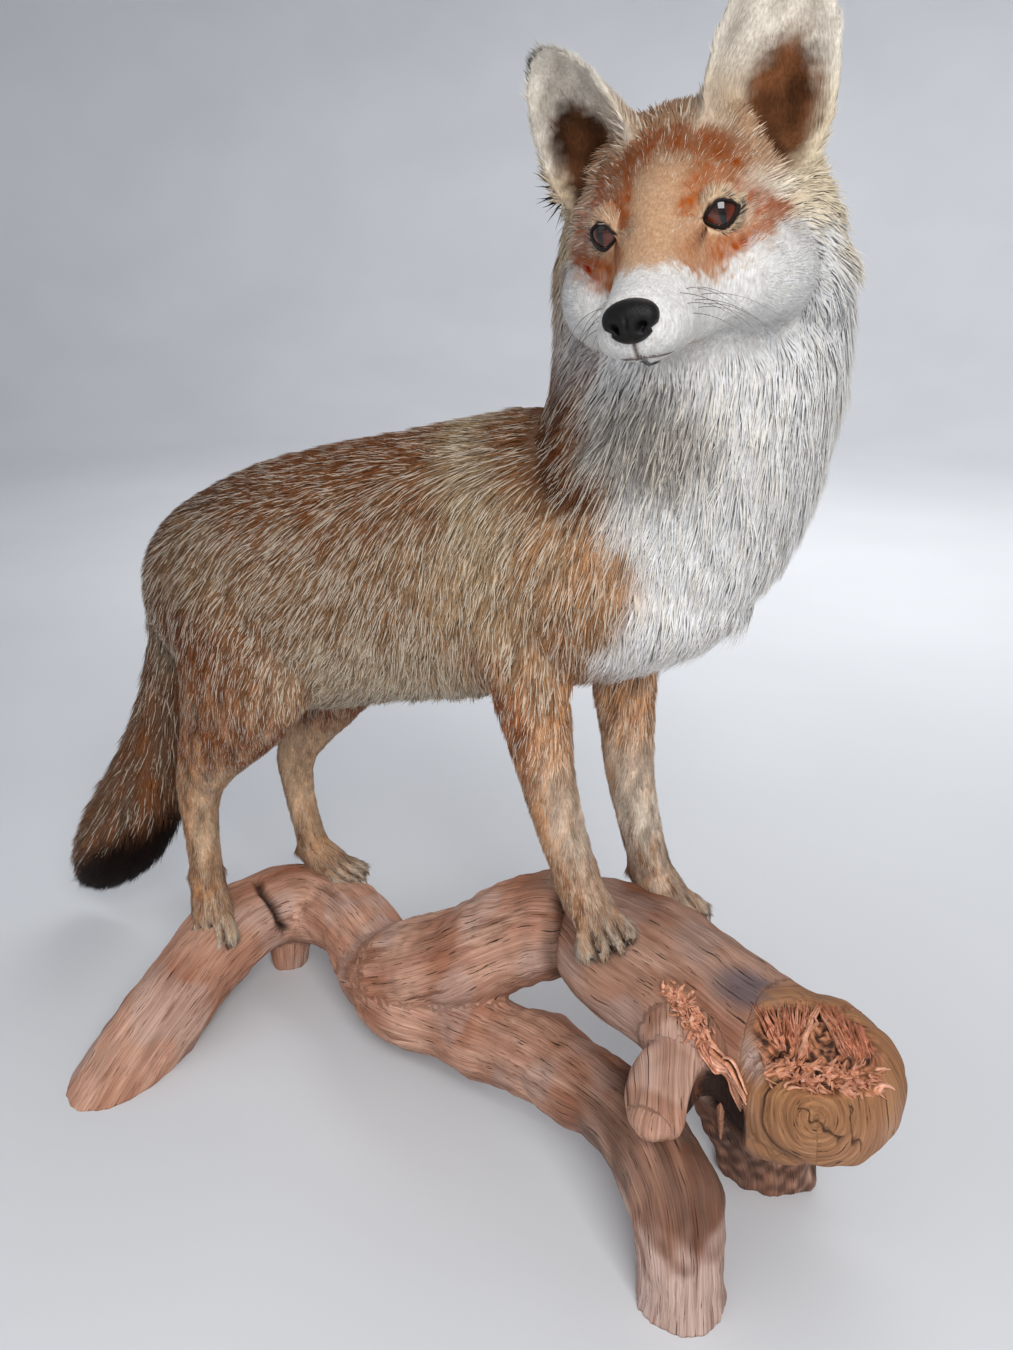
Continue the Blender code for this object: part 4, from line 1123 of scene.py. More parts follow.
def fur_material(name, skin=False):
    """Fox fur: dry keratin hair, matt with a faint silky sheen; its colour is the markings'."""
    made, tree = new_material(name, Roughness=0.85 if skin else 0.58,
                              Specular_IOR_Level=0.04 if skin else 0.05,
                              Sheen_Weight=0.015, Sheen_Roughness=0.5)
    tone = add_node(tree, "ShaderNodeAttribute",
                    {"attribute_name": "skin_colour" if skin else "coat_colour"})
    place = add_node(tree, "ShaderNodeTexCoord").outputs["Object"]
    # hair to hair variation: patches of about 3 mm
    layers = [("MULTIPLY", 1.0, noise_tones(tree, place, 330.0, 3.0, [
        (0.3, (0.84, 0.82, 0.8, 1)), (0.7, (1.06, 1.06, 1.06, 1))], 0.6))]
    height = None
    if skin:
        # short fur lies flat: fine hairs, drawn at 1 mm so that they show, longer down the limbs
        spread = add_node(tree, "ShaderNodeVectorMath", {"operation": "MULTIPLY"},
                          {0: place, 1: (1000.0, 1000.0, 260.0)})
        height = add_node(tree, "ShaderNodeTexNoise", links={
            "Vector": spread.outputs[0], "Scale": 1.0, "Detail": 2.0}).outputs["Fac"]
        hairs = add_node(tree, "ShaderNodeValToRGB", links={"Fac": height}, stops=[
            (0.3, (0.78, 0.75, 0.72, 1)), (0.7, (1.1, 1.1, 1.1, 1))])
        layers.append(("MULTIPLY", 1.0, hairs.outputs["Color"]))
    return dressed(made, layered(tree, tone.outputs["Color"], *layers), height, 0.6, 0.001)


def finish_piece(obj, material, replaced=()):
    """Give a piece its material, its body and the nodes that it stands for."""
    if material is not None:
        obj.data.materials.clear()
        obj.data.materials.append(material)
    shade_smooth(obj.data)
    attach(obj, "root")
    if replaced:
        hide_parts(*replaced)
    return obj


# ---- skin -------------------------------------------------------------------
FLESH = ("head", "neck", "trunk", "tail", "tail_tip", "foreleg_left", "foreleg_right",
         "hindleg_left", "hindleg_right", "forepaw_left", "forepaw_right", "hindpaw_left",
         "hindpaw_right", "ear_left", "ear_right")
MOUTH_LINE = ([0.03, 0.04, 0.05, 0.06, 0.066, 0.07],
              [-0.044, -0.0462, -0.0458, -0.0442, -0.0426, -0.0424])


def open_lids(points):
    """Draw the skin over each eyeball and open it between the lids."""
    for side in (1, -1):
        centre = eye_frame(side)[0]
        offset, measure = eye_measure(points, side)
        reach = np.linalg.norm(offset, axis=1)
        near = (reach < 0.03) & (measure < 3.0)
        away = unit(offset)
        cover = np.maximum(reach, EYE_RADIUS + LID_SKIN)
        lid = EYE_RADIUS + LID_SKIN + (cover - EYE_RADIUS - LID_SKIN) * ease(1.25, 2.4, measure)
        goal = np.where(measure < 0.97, EYE_RADIUS - 0.003, lid)
        points = np.where(near[:, None], centre + away * goal[:, None], points)
    return points


def cut_mouth(points):
    """Press the mouth line and the groove under the nose into the skin."""
    local = to_head(points)
    ahead, across, up = local.T
    line = np.interp(ahead, *MOUTH_LINE)
    along = ease(0.026, 0.034, ahead)
    groove = np.exp(-((up - line) / 0.0011) ** 2) * along
    lip = (1 - ease(-0.001, 0.0, up - line)) * ease(0.03, 0.046, ahead)
    philtrum = np.exp(-(across / 0.0013) ** 2) * ease(0.058, 0.064, ahead)
    philtrum *= ease(-0.044, -0.042, up) * (1 - ease(-0.036, -0.033, up))
    shift = np.zeros_like(local)
    shift[:, 0] = -0.0016 * groove * ease(0.055, 0.066, ahead) - 0.0022 * lip - 0.0012 * philtrum
    shift[:, 1] = -np.sign(across) * (0.0019 * groove + 0.0016 * lip) * (
        1 - ease(0.06, 0.067, ahead))
    return on_head(local + shift), np.clip(groove + philtrum, 0, 1)


def build_skin():
    """One skin over the whole body, inside the coat, with its markings and the coat's lie."""
    parts = body_parts()
    obj = fused("fox_skin", [one for part in parts.values() for one in part.shells],
                SKIN_VOXEL, 3)
    mesh = obj.data

    def face(points):
        local = to_head(points)
        return (local[:, 0] > -0.034) & (np.abs(local[:, 1]) < 0.06) & (local[:, 2] > -0.07)

    def features(points):
        local = to_head(points)
        eyes = np.minimum(*(np.linalg.norm(points - eye_frame(side)[0], axis=1)
                            for side in (1, -1))) < 0.02
        return eyes & (local[:, 0] > -0.02) | (local[:, 0] > 0.026)

    for chosen in (face, features):
        refined(mesh, chosen)
        points = read_points(mesh)
        inside = chosen(points)[:, None]
        write_points(mesh, np.where(inside, relaxed(mesh, points, 2), points))
    triangulated(mesh)
    points, normals = read_points(mesh), read_points(mesh, "normal")
    survey = Survey(points, normals, parts)
    length, lift = coat_size(survey)
    tone, light = coat_markings(survey)
    flow = coat_flow(survey)
    depth = relaxed(mesh, (RISE_SHARE * length * np.sin(lift) + 0.0004)[:, None], 6)
    for name in PAWS:
        depth[:, 0] += 0.0042 * toe_gaps(points, name)
    hollow = ear_hollow(points, normals, parts) * survey.weight["head"]
    depth[:, 0] += HOLLOW_DEPTH * hollow
    points = relaxed(mesh, points - normals * depth, 2, 0.4)
    points = open_lids(points)
    points, mouth = cut_mouth(points)
    write_points(mesh, points)
    # dark lip skin along the mouth line and the groove under the nose, partly painted shade under
    # the upper lip
    tone = mixed(tone, colour("stain") * 0.5, 0.8 * ease(0.35, 0.9, mouth))
    normals = read_points(mesh, "normal")
    flow = unit(flow - normals * (flow * normals).sum(1, keepdims=True))
    bare = np.zeros(len(points))
    for side in (1, -1):
        offset, measure = eye_measure(points, side)
        bare = np.maximum(bare, (measure < 1.3) & (np.linalg.norm(offset, axis=1) < 0.02))
    nose = np.linalg.norm((to_head(points) - NOSE_CENTRE) / np.array(NOSE_RADII), axis=1)
    bare = np.maximum(bare, nose < 1.12)
    bare = np.maximum(bare, mouth > 0.6)
    bare = np.maximum(bare, 0.9 * ease(0.45, 0.9, hollow))
    names = list(parts)
    best = np.argmax([survey.weight[name] for name in names], axis=0)
    spots = np.array([[survey.spot[name][axis] for name in names] for axis in (0, 1)])
    rows = np.arange(len(points))
    shade = 0.45 * ease(0.01, 0.018, length)        # painted shade: skin under long fur is darkened toward dim underfur, as deep in the coat
    shade = shade * (1 - 0.6 * ease(0.3, 0.75, tone[:, 2]))
    under = mixed(tone, colour("smoke") * 0.35, shade)
    for name, kind, values in (
            ("coat_colour", "FLOAT_COLOR", tone), ("skin_colour", "FLOAT_COLOR", under),
            ("coat_light", "FLOAT", light),
            ("coat_length", "FLOAT", length), ("coat_lift", "FLOAT", lift),
            ("coat_flow", "FLOAT_VECTOR", flow), ("coat_bare", "FLOAT", bare),
            ("coat_part", "FLOAT", best), ("coat_along", "FLOAT", spots[0, best, rows]),
            ("coat_around", "FLOAT", spots[1, best, rows])):
        write_attribute(mesh, name, kind, values)
    finish_piece(obj, fur_material("tanned_hide_with_underfur", skin=True), FLESH)
    return obj


# ---- coat -------------------------------------------------------------------
PART_ORDER = ("trunk", *COLUMNS, "tail", "head", *EARS, *PAWS)
COAT_GROUPS = {"trunk_front": "fur_trunk", "trunk_back": "fur_trunk", "neck": "fur_neck",
               "head": "fur_head", "ear": "fur_ear", "tail": "fur_tail",
               "tail_end": "fur_tail_tip", "foreleg": "fur_leg", "hindleg": "fur_leg",
               "forepaw": "fur_paw", "hindpaw": "fur_paw"}
COAT_PIECES = {f"coat_{group}_{side}": slot for group, slot in COAT_GROUPS.items()
               for side in ("left", "right")}
MOST_TRIANGLES = 199000      # in one coat piece
TRUNK_SPLIT = -0.075         # x between the front and back pieces of the trunk's coat
TAIL_SPLIT = 0.115           # height below which the tail's end begins
TAIL_MIDDLE = -0.012         # y between the left and right pieces of the tail's coat


def coat_pieces_of(part, points):
    """The coat piece that each root belongs to, as an index into COAT_PIECES."""
    groups = list(COAT_GROUPS)
    piece = np.zeros(len(points), int)
    for index, name in enumerate(PART_ORDER):
        group = name.rsplit("_", 1)[0] if name.endswith(("left", "right")) else name
        if name == "trunk":
            found = np.where(points[:, 0] < TRUNK_SPLIT, groups.index("trunk_back"),
                             groups.index("trunk_front"))
        elif name == "tail":
            found = np.where(points[:, 2] < TAIL_SPLIT, groups.index("tail_end"),
                             groups.index("tail"))
        else:
            found = np.full(len(points), groups.index(group))
        if name in ("head", *EARS):
            middle = to_head(points)[:, 1]
        else:
            middle = points[:, 1] - (TAIL_MIDDLE if name == "tail" else 0)
        piece = np.where(part == index, 2 * found + (middle < 0), piece)
    return piece


def scattered(corners, density, count, draw):
    """Even random places over triangles: their triangle and corner shares."""
    area = np.linalg.norm(np.cross(corners[:, 1] - corners[:, 0],
                                   corners[:, 2] - corners[:, 0]), axis=1) / 2
    total = np.cumsum(area * density)
    goal = (np.arange(count) + draw.random(count)) / count * total[-1]
    tri = np.searchsorted(total, goal)
    a, b = draw.random((2, count))
    flip = a + b > 1
    a, b = np.where(flip, 1 - a, a), np.where(flip, 1 - b, b)
    return tri, np.stack([1 - a - b, a, b], 1)


def patches(along, around):
    """A place on a square sheet for each lock, in rows along the part and turns round it."""
    count = len(along)
    side = max(int(math.ceil(math.sqrt(count))), 1)
    row = np.empty(count, int)
    row[np.argsort(along, kind="stable")] = np.arange(count) // side
    order = np.lexsort((around, row))
    column = np.empty(count, int)
    column[order] = np.arange(count) - row[order] * side
    return (np.stack([column, row], 1) + 0.5) / side


# Corners of a lock as (share of length, half width share, height share).
LONG_LOCK = [(0.0, 0.0, 0.0), (0.38, 1.0, 0.0), (0.38, 0.0, 0.55), (0.38, -1.0, 0.0),
             (1.0, 0.0, 0.0)]
LONG_FACES = [(0, 1, 2), (0, 2, 3), (0, 3, 1), (4, 2, 1), (4, 3, 2), (4, 1, 3)]
SHORT_LOCK = [(0.0, 1.0, 0.0), (0.0, 0.0, 0.75), (0.0, -1.0, 0.0), (1.0, 0.0, 0.0)]
SHORT_FACES = [(0, 1, 2), (1, 0, 3), (2, 1, 3), (0, 2, 3)]
ROUND_SHARE = 0.4           # how far a lock's own roundness shows over that of the skin


def lock_points(roots, normals, flow, length, lift, width, sway, corners):
    """Corners of every lock, bent over to lie on the skin, and their shading directions."""
    corners = np.array(corners)
    share, wide, high = (corners[:, axis][None, :, None] for axis in range(3))
    side = np.cross(flow, normals)[:, None]
    ahead = (length * np.cos(lift))[:, None, None] * flow[:, None]
    rise = (length * np.sin(lift))[:, None, None] * normals[:, None]
    bend = (length * sway)[:, None, None] * side
    middle = roots[:, None] + ahead * share + rise * (share - 0.55 * share ** 2)
    middle = middle + bend * share ** 2
    half = (width / 2)[:, None, None]
    round_way = normals[:, None] + ROUND_SHARE * side * wide + 0.15 * flow[:, None] * share
    return middle + half * (side * wide + normals[:, None] * high), unit(round_way)


def lock_colours(tone, light, shade, draw, corners):
    """Colour of every corner of every lock: darker roots, for underfur and partly painted shade
    deep in the coat, then bands and light tips.
    """
    count = len(tone)
    pick = draw.random(count)
    bright = draw.uniform(0.86, 1.12, count)[:, None]
    pale = ease(0.3, 0.75, tone[:, 2])                  # white fur stays light at its root
    pale_tip = (pick < 0.55 * light)[:, None]
    dark_tip = (pick > 1 - 0.3 * light * (1 - pale))[:, None]
    tip_white = np.array(linear("#f4ead8"))
    # painted shade at the roots of longer locks, over the darker underfur; less in white fur
    root = tone * (1 - 0.45 * shade * (1 - 0.65 * pale))[:, None]
    middle, tip = tone * bright, tone * bright * 1.05
    middle = np.where(pale_tip, mixed(tone, tip_white, np.full(count, 0.32)), middle)
    tip = np.where(pale_tip, mixed(tone, tip_white, np.full(count, 0.75)), tip)
    middle = np.where(dark_tip, tone * 0.62, middle)
    tip = np.where(dark_tip, tone * np.array([0.58, 0.48, 0.42]), tip)
    rows = {0.0: root, 0.38: middle, 1.0: tip}
    return np.clip(np.stack([rows[corner[0]] for corner in corners], 1), 0, 1)


def coat_mesh(name, lots):
    """The mesh of one coat piece, each lock with its own patch of the bake map."""
    sheet = patches(*(np.concatenate([lot[key] for lot in lots]) for key in ("along", "around")))
    half_patch = 0.0015
    verts, tris, tones, spots, ways, base, start = [], [], [], [], [], 0, 0
    for lot in lots:
        count, each = lot["corners"].shape[:2]
        steps = (base + np.arange(count) * each)[:, None, None]
        tris.append((np.array(lot["faces"])[None] + steps).reshape(-1, 3))
        verts.append(lot["corners"].reshape(-1, 3))
        ways.append(lot["ways"].reshape(-1, 3))
        tones.append(lot["tones"].reshape(-1, 3))
        share, wide, high = np.array(lot["shape"]).T
        local = np.stack([wide + 0.3 * high, share * 2 - 1], 1) * half_patch
        spots.append((sheet[start:start + count, None] + local[None]).reshape(-1, 2))
        base += count * each
        start += count
    tris = np.vstack(tris)
    if len(tris) > MOST_TRIANGLES:
        raise RuntimeError(f"{name} has {len(tris)} triangles")
    mesh = make_mesh(name, np.vstack(verts), tris)
    shade_smooth(mesh)
    mesh.normals_split_custom_set_from_vertices(np.vstack(ways).tolist())
    write_attribute(mesh, "coat_colour", "FLOAT_COLOR", np.vstack(tones))
    layer = mesh.uv_layers.new(name="OFBake")
    spots = np.vstack(spots)[tris.ravel()]
    layer.uv.foreach_set("vector", np.ascontiguousarray(spots, np.float32).ravel())
    return mesh


def build_coat(skin):
    """Locks of fur over the whole skin, laid along the flow."""
    sizes = bpy.context.scene.fox_sizes
    mesh = skin.data
    tris = np.empty(len(mesh.polygons) * 3, int)
    mesh.polygons.foreach_get("vertices", tris)
    tris = tris.reshape(-1, 3)
    points, normals = read_points(mesh), read_points(mesh, "normal")
    at = {name: read_attribute(mesh, "coat_" + name) for name in
          ("colour", "light", "length", "lift", "flow", "bare", "part", "along", "around")}
    part_of = np.round(at["part"]).astype(int)
    is_long = ease(0.0112, 0.0132, at["length"])
    open_skin = 1 - at["bare"]
    on_face = part_of == PART_ORDER.index("head")
    fine = 1 + (1.2 + 1.4 * ease(-0.05, 0.0, to_head(points)[:, 0])) * on_face
    paws = np.isin(part_of, [PART_ORDER.index(name) for name in PAWS])
    rounds = (
        ("long", is_long * open_skin * (1 + 0.6 * on_face), sizes.long_locks,
         sizes.guard_width, LONG_LOCK, LONG_FACES),
        ("short", (1 - is_long) * open_skin * fine * (1 + 0.5 * paws), sizes.short_locks,
         sizes.short_width, SHORT_LOCK, SHORT_FACES))
    made = {}
    for seed, (kind, density, count, width, shape, faces) in enumerate(rounds):
        draw = np.random.default_rng(700 + seed)
        count = int(count * (1.0))
        tri, share = scattered(points[tris], density[tris].mean(1), count, draw)
        corner = tris[tri]

        def carried(values):
            return np.einsum("ij,ij...->i...", share, values[corner])

        root = carried(points)
        normal = unit(carried(normals))
        flow = carried(at["flow"])
        turn = 0.11 * waves(root, 0.016, 91) + 0.06 * waves(root, 0.005, 92)
        turn = turn + draw.normal(0, 0.07, count)
        flow = unit(flow - normal * (flow * normal).sum(1, keepdims=True))
        flow = flow * np.cos(turn)[:, None] + np.cross(normal, flow) * np.sin(turn)[:, None]
        length = carried(at["length"]) * draw.uniform(0.72, 1.12, count)
        lift = carried(at["lift"]) * draw.uniform(0.75, 1.15, count)
        lift = lift * (1 + 0.18 * waves(root, 0.014, 93))
        thick = width * draw.uniform(0.7, 1.2, count)
        if kind == "short":
            thick = thick * np.interp(length, [0.003, 0.009], [0.8, 1.15])
        sway = draw.normal(0, 0.05, count)
        placed, ways = lock_points(root - normal * 0.0006, normal, flow, length, lift, thick,
                                   sway, shape)
        tones = lock_colours(carried(at["colour"]), carried(at["light"]),
                             ease(0.003, 0.016, length), draw, shape)
        first = corner[:, 0]
        piece = coat_pieces_of(part_of[first], root)
        for index, name in enumerate(COAT_PIECES):
            rows = np.nonzero(piece == index)[0]
            if len(rows):
                made.setdefault(name, []).append({
                    "corners": placed[rows], "ways": ways[rows], "faces": faces,
                    "tones": tones[rows],
                    "along": at["along"][first[rows]], "around": at["around"][first[rows]],
                    "shape": shape})
    material = fur_material("fox_guard_hair")
    for name, lots in made.items():
        finish_piece(make_object(name, coat_mesh(name, lots)), material)


# ---- eyes, nose, claws, whiskers --------------------------------------------
def ring_tube(centres, firsts, seconds, around=10):
    """A closed loop of a tube: its path, and two half axes of its section at each point."""
    turn = turns(around)
    rings = (centres[:, None] + firsts[:, None] * np.cos(turn)[None, :, None]
             + seconds[:, None] * np.sin(turn)[None, :, None])
    count = len(rings)
    row = np.arange(count)[:, None] * around
    next_row = (row + around) % (count * around)
    here = np.arange(around)[None]
    after = (here + 1) % around
    quads = np.stack([(row + here).ravel(), (row + after).ravel(),
                      (next_row + after).ravel(), (next_row + here).ravel()], 1)
    return rings.reshape(-1, 3), quads


def face_outward(mesh):
    """Turn every face outward."""
    reshaped(mesh, lambda shape: bmesh.ops.recalc_face_normals(shape, faces=shape.faces))


def eye_material():
    """Taxidermy glass eye: iris painted behind polished glass, so it is sharp and very glossy."""
    made, tree = new_material("painted_glass_eye", Roughness=0.08, IOR=1.5, Coat_Weight=0.4,
                              Coat_Roughness=0.01, Specular_IOR_Level=0.35)
    place = add_node(tree, "ShaderNodeAttribute", {"attribute_name": "iris_place"})
    parts = add_node(tree, "ShaderNodeSeparateXYZ", links={0: place.outputs["Vector"]})
    x, y = parts.outputs["X"], parts.outputs["Y"]

    def from_middle(wide, high):
        flat = add_node(tree, "ShaderNodeVectorMath", {"operation": "MULTIPLY"},
                        {0: place.outputs["Vector"], 1: (wide, high, 0.0)})
        return add_node(tree, "ShaderNodeVectorMath", {"operation": "LENGTH"},
                        {0: flat.outputs[0]}).outputs["Value"]

    radius = from_middle(1.0, 1.0)
    angle = add_node(tree, "ShaderNodeMath", {"operation": "ARCTAN2"}, {0: y, 1: x})
    turned = add_node(tree, "ShaderNodeCombineXYZ", links={"X": angle.outputs[0], "Y": radius})
    spread = add_node(tree, "ShaderNodeVectorMath", {"operation": "MULTIPLY"},
                      {0: turned.outputs[0], 1: (9.0, 2.5, 1.0)})
    rays = noise_tones(tree, spread.outputs[0], 2.0, 3.0, [
        (0.3, (0.45, 0.42, 0.4, 1)), (0.7, WHITE)])
    rim = add_node(tree, "ShaderNodeValToRGB", links={"Fac": radius}, stops=[
        (0.1, rgba("iris", 0.5)), (0.45, rgba("iris")), (0.66, rgba("iris", 0.6)),
        (0.76, rgba("pupil"))])
    # painted shade: the upper third of the iris is darkened as if in the shadow of the upper lid
    high = add_node(tree, "ShaderNodeMath", {"operation": "MULTIPLY_ADD"}, {0: y, 1: 0.5, 2: 0.5})
    painted_lid_shadow = add_node(tree, "ShaderNodeValToRGB", links={"Fac": high.outputs[0]}, stops=[
        (0.5, WHITE), (0.66, (0.12, 0.1, 0.14, 1))])
    pupil = add_node(tree, "ShaderNodeValToRGB", links={"Fac": from_middle(6.0, 1.55)}, stops=[
        (0.88, WHITE), (1.0, BLACK)])
    return dressed(made, layered(
        tree, rim.outputs["Color"], ("MULTIPLY", 1.0, painted_lid_shadow.outputs["Color"]),
        ("MULTIPLY", 1.0, rays), ("MIX", pupil.outputs["Color"], rgba("pupil"))))


def bare_skin_material(name, key, roughness, cell_mm):
    """Bare leathery skin, painted and waxed: fine raised cells with a soft sheen."""
    made, tree = new_material(name, Roughness=roughness, Specular_IOR_Level=0.25)
    place = add_node(tree, "ShaderNodeTexCoord").outputs["Object"]
    cells = add_node(tree, "ShaderNodeTexVoronoi", {"feature": "DISTANCE_TO_EDGE"},
                     {"Vector": place, "Scale": 1000.0 / cell_mm})
    tone = noise_tones(tree, place, 260.0, 4.0, [(0.3, rgba(key, 0.6)), (0.75, rgba(key, 1.5))])
    flat = add_node(tree, "ShaderNodeValToRGB", links={"Fac": cells.outputs["Distance"]},
                    stops=[(0.0, BLACK), (0.25, WHITE)])
    return dressed(made, tone, flat.outputs["Color"], 0.35, 0.0003)


def build_eyes():
    """Two glass eyes, each set in a dark rim of lid."""
    glass = eye_material()
    rim = bare_skin_material("waxed_eyelid", "lid", 0.6, 0.6)
    for name, side in (("eye_left", 1), ("eye_right", -1)):
        centre, gaze, outward, upward = eye_frame(side)
        verts, tris = shell(ball_rings(centre, (EYE_RADIUS,) * 3,
                                       np.array([gaze, outward, upward]), 36))
        mesh = make_mesh("glass_" + name, verts, tris)
        offset = (verts - centre) / EYE_RADIUS
        seen = np.stack([offset @ outward, offset @ upward, offset @ gaze], 1)
        write_attribute(mesh, "iris_place", "FLOAT_VECTOR", seen)
        finish_piece(make_object("glass_" + name, mesh), glass, [name])
        turn = turns(72)
        wide = np.cos(turn)
        high = np.sin(turn) / (1 + ALMOND * wide ** 2)
        way = unit(gaze + np.tan(LID_HALF_WIDE * wide)[:, None] * outward
                   + np.tan(LID_HALF_HIGH * high)[:, None] * upward)
        upper = ease(-0.2, 0.6, np.sin(turn))[:, None]
        path = centre + way * (EYE_RADIUS + 0.0002)
        along = unit(np.roll(path, -1, 0) - np.roll(path, 1, 0))
        across = np.cross(along, way)
        verts, quads = ring_tube(path, way * (0.0005 + 0.0005 * upper),
                                 across * (0.0003 + 0.0003 * upper))
        mesh = make_mesh("lid_" + name, verts, quads)
        face_outward(mesh)
        finish_piece(make_object("lid_" + name, mesh), rim)


def build_nose():
    """The nose pad with its nostrils and middle groove."""
    axes = HEAD_AXES
    centre = on_head(NOSE_CENTRE)
    verts, tris = shell(ball_rings(centre, NOSE_RADII, axes, 60))
    local = (verts - centre) @ axes.T / np.array(NOSE_RADII)
    ahead, across, up = local.T
    side = np.abs(across)
    local[:, 1] *= 1.0 + 0.16 * up                       # broad above, narrow below
    local[:, 0] = np.sign(ahead) * np.abs(ahead) ** 0.8
    front = ease(0.0, 0.5, ahead)
    pit = np.exp(-((side - 0.5) / 0.17) ** 2 - ((up + 0.18) / 0.24) ** 2)
    slit = np.exp(-((up + 0.3 + 0.25 * (side - 0.5)) / 0.11) ** 2) * ease(0.48, 0.62, side)
    groove = np.exp(-(across / 0.055) ** 2) * (1 - ease(0.15, 0.55, up))
    local[:, 0] -= front * (0.6 * pit + 0.12 * groove)
    local[:, 1] -= np.sign(across) * 0.16 * slit * ease(-0.4, 0.2, ahead)
    verts = centre + (local * np.array(NOSE_RADII)) @ axes
    mesh = make_mesh("nose_leather", verts, tris)
    finish_piece(make_object("nose_leather", mesh),
                 bare_skin_material("waxed_nose_leather", "nose", 0.42, 0.9), ["nose"])


def tapered_paths_tree():
    """Nodes that turn lines into tapered tubes, for claws and whiskers."""
    tree = bpy.data.node_groups.new("tapered_paths", "GeometryNodeTree")
    face = tree.interface
    face.new_socket(name="Geometry", in_out="INPUT", socket_type="NodeSocketGeometry")
    for name, kind in (("Root radius", "NodeSocketFloat"), ("Taper", "NodeSocketFloat"),
                       ("Sides", "NodeSocketInt"), ("Material", "NodeSocketMaterial")):
        face.new_socket(name=name, in_out="INPUT", socket_type=kind)
    face.new_socket(name="Geometry", in_out="OUTPUT", socket_type="NodeSocketGeometry")
    given = add_node(tree, "NodeGroupInput").outputs
    curve = add_node(tree, "GeometryNodeMeshToCurve", links={"Mesh": given["Geometry"]})
    share = add_node(tree, "GeometryNodeSplineParameter").outputs["Factor"]
    power = add_node(tree, "ShaderNodeMath", {"operation": "POWER"},
                     {0: share, 1: given["Taper"]})
    slim = add_node(tree, "ShaderNodeMath", {"operation": "MULTIPLY_ADD"},
                    {0: power.outputs[0], 1: -0.93, 2: 1.0})
    radius = add_node(tree, "ShaderNodeMath", {"operation": "MULTIPLY"},
                      {0: slim.outputs[0], 1: given["Root radius"]})
    sized = add_node(tree, "GeometryNodeSetCurveRadius", links={
        "Curve": curve.outputs[0], "Radius": radius.outputs[0]})
    ring = add_node(tree, "GeometryNodeCurvePrimitiveCircle", links={
        "Resolution": given["Sides"], "Radius": 1.0})
    tube = add_node(tree, "GeometryNodeCurveToMesh", links={
        "Curve": sized.outputs[0], "Profile Curve": ring.outputs[0], "Fill Caps": True})
    if "Scale" in tube.inputs:
        tree.links.new(radius.outputs[0], tube.inputs["Scale"])
    real = add_node(tree, "GeometryNodeRealizeInstances", links={"Geometry": tube.outputs[0]})
    done = add_node(tree, "GeometryNodeSetMaterial", links={
        "Geometry": real.outputs[0], "Material": given["Material"]})
    add_node(tree, "NodeGroupOutput", links={"Geometry": done.outputs[0]})
    return tree


def tapered(name, paths, radius, taper, sides, material):
    """One mesh of tapered tubes along the paths, made by the node tree."""
    tree = bpy.data.node_groups.get("tapered_paths") or tapered_paths_tree()
    verts = np.vstack(paths)
    edges, base = [], 0
    for path in paths:
        edges += [(base + step, base + step + 1) for step in range(len(path) - 1)]
        base += len(path)
    mesh = bpy.data.meshes.new(name)
    mesh.from_pydata(verts + TO_PART_FRAME, edges, [])
    obj = make_object(name, mesh)
    step = obj.modifiers.new("tapered_paths", "NODES")
    step.node_group = tree
    given = {"Root radius": radius, "Taper": taper, "Sides": sides, "Material": material}
    for item in tree.interface.items_tree:
        if item.in_out == "INPUT" and item.name in given:
            step[item.identifier] = given[item.name]
    baked(obj)
    face_outward(obj.data)
    return obj


def build_claws():
    """Curved claws at the ends of the toes."""
    # horn worn smooth by walking: half glossy, streaked brown and grey
    made = mottled_material("claw_horn", "claw", 240.0, 4.0, 0.6, 1.6, Roughness=0.35,
                            Specular_IOR_Level=0.5)
    paths = []
    for name in PAWS:
        along, _, down = paw_axes(name)
        for place in TOES:
            _, end = toe_line(name, place)
            start = end + along * (TOE_RADIUS * 0.35) - down * (TOE_RADIUS * 0.15)
            share = np.linspace(0, 1, 9)[:, None]
            bend = along * np.sin(share * 1.15) + down * (1 - np.cos(share * 1.15)) * 1.1
            paths.append(start + bend * CLAW_LENGTH)
    obj = tapered("claws", paths, CLAW_RADIUS, 1.7, 10, made)
    finish_piece(obj, None)


def build_whiskers():
    """Dark whiskers on the muzzle and a few over the eyes."""
    # stiff smooth hair: dark, with paler lengths
    made = mottled_material("whisker_keratin", "whisker", 60.0, 2.0, 0.7, 2.2, Roughness=0.4)
    draw = np.random.default_rng(64)
    paths = []
    for side in (1, -1):
        for row, (up, count) in enumerate(((-0.0235, 3), (-0.028, 3), (-0.0325, 3))):
            for index in range(count):
                ahead = 0.048 - 0.008 * index - 0.002 * row
                root = np.array([ahead, 0.0165, up + draw.uniform(-0.001, 0.001)])
                length = draw.uniform(0.026, 0.05)
                way = unit(np.array([-0.3 - 0.15 * index, 0.85, draw.uniform(-0.25, 0.05)]))
                fall = np.array([-0.25, -0.15, -draw.uniform(0.8, 1.3)])
                share = np.linspace(0, 1, 14)[:, None]
                line = root + length * (way * share + fall * share ** 2 * 0.6)
                paths.append(on_head(line * (1, side, 1)))
    obj = tapered("whiskers", paths, bpy.context.scene.fox_sizes.whisker_radius, 1.0, 5, made)
    finish_piece(obj, None)


# ---- driftwood --------------------------------------------------------------
# The torn face of the root: its middle, and its right, up and outward directions.
TORN_MIDDLE = np.array([0.256, -0.066, 0.146])
TORN_OUT = unit([0.2, -0.72, 0.66])
TORN_RIGHT = unit(np.array([0.9, 0.44, 0.0]) - TORN_OUT * np.dot([0.9, 0.44, 0.0], TORN_OUT))
TORN_UP = np.cross(TORN_OUT, TORN_RIGHT)
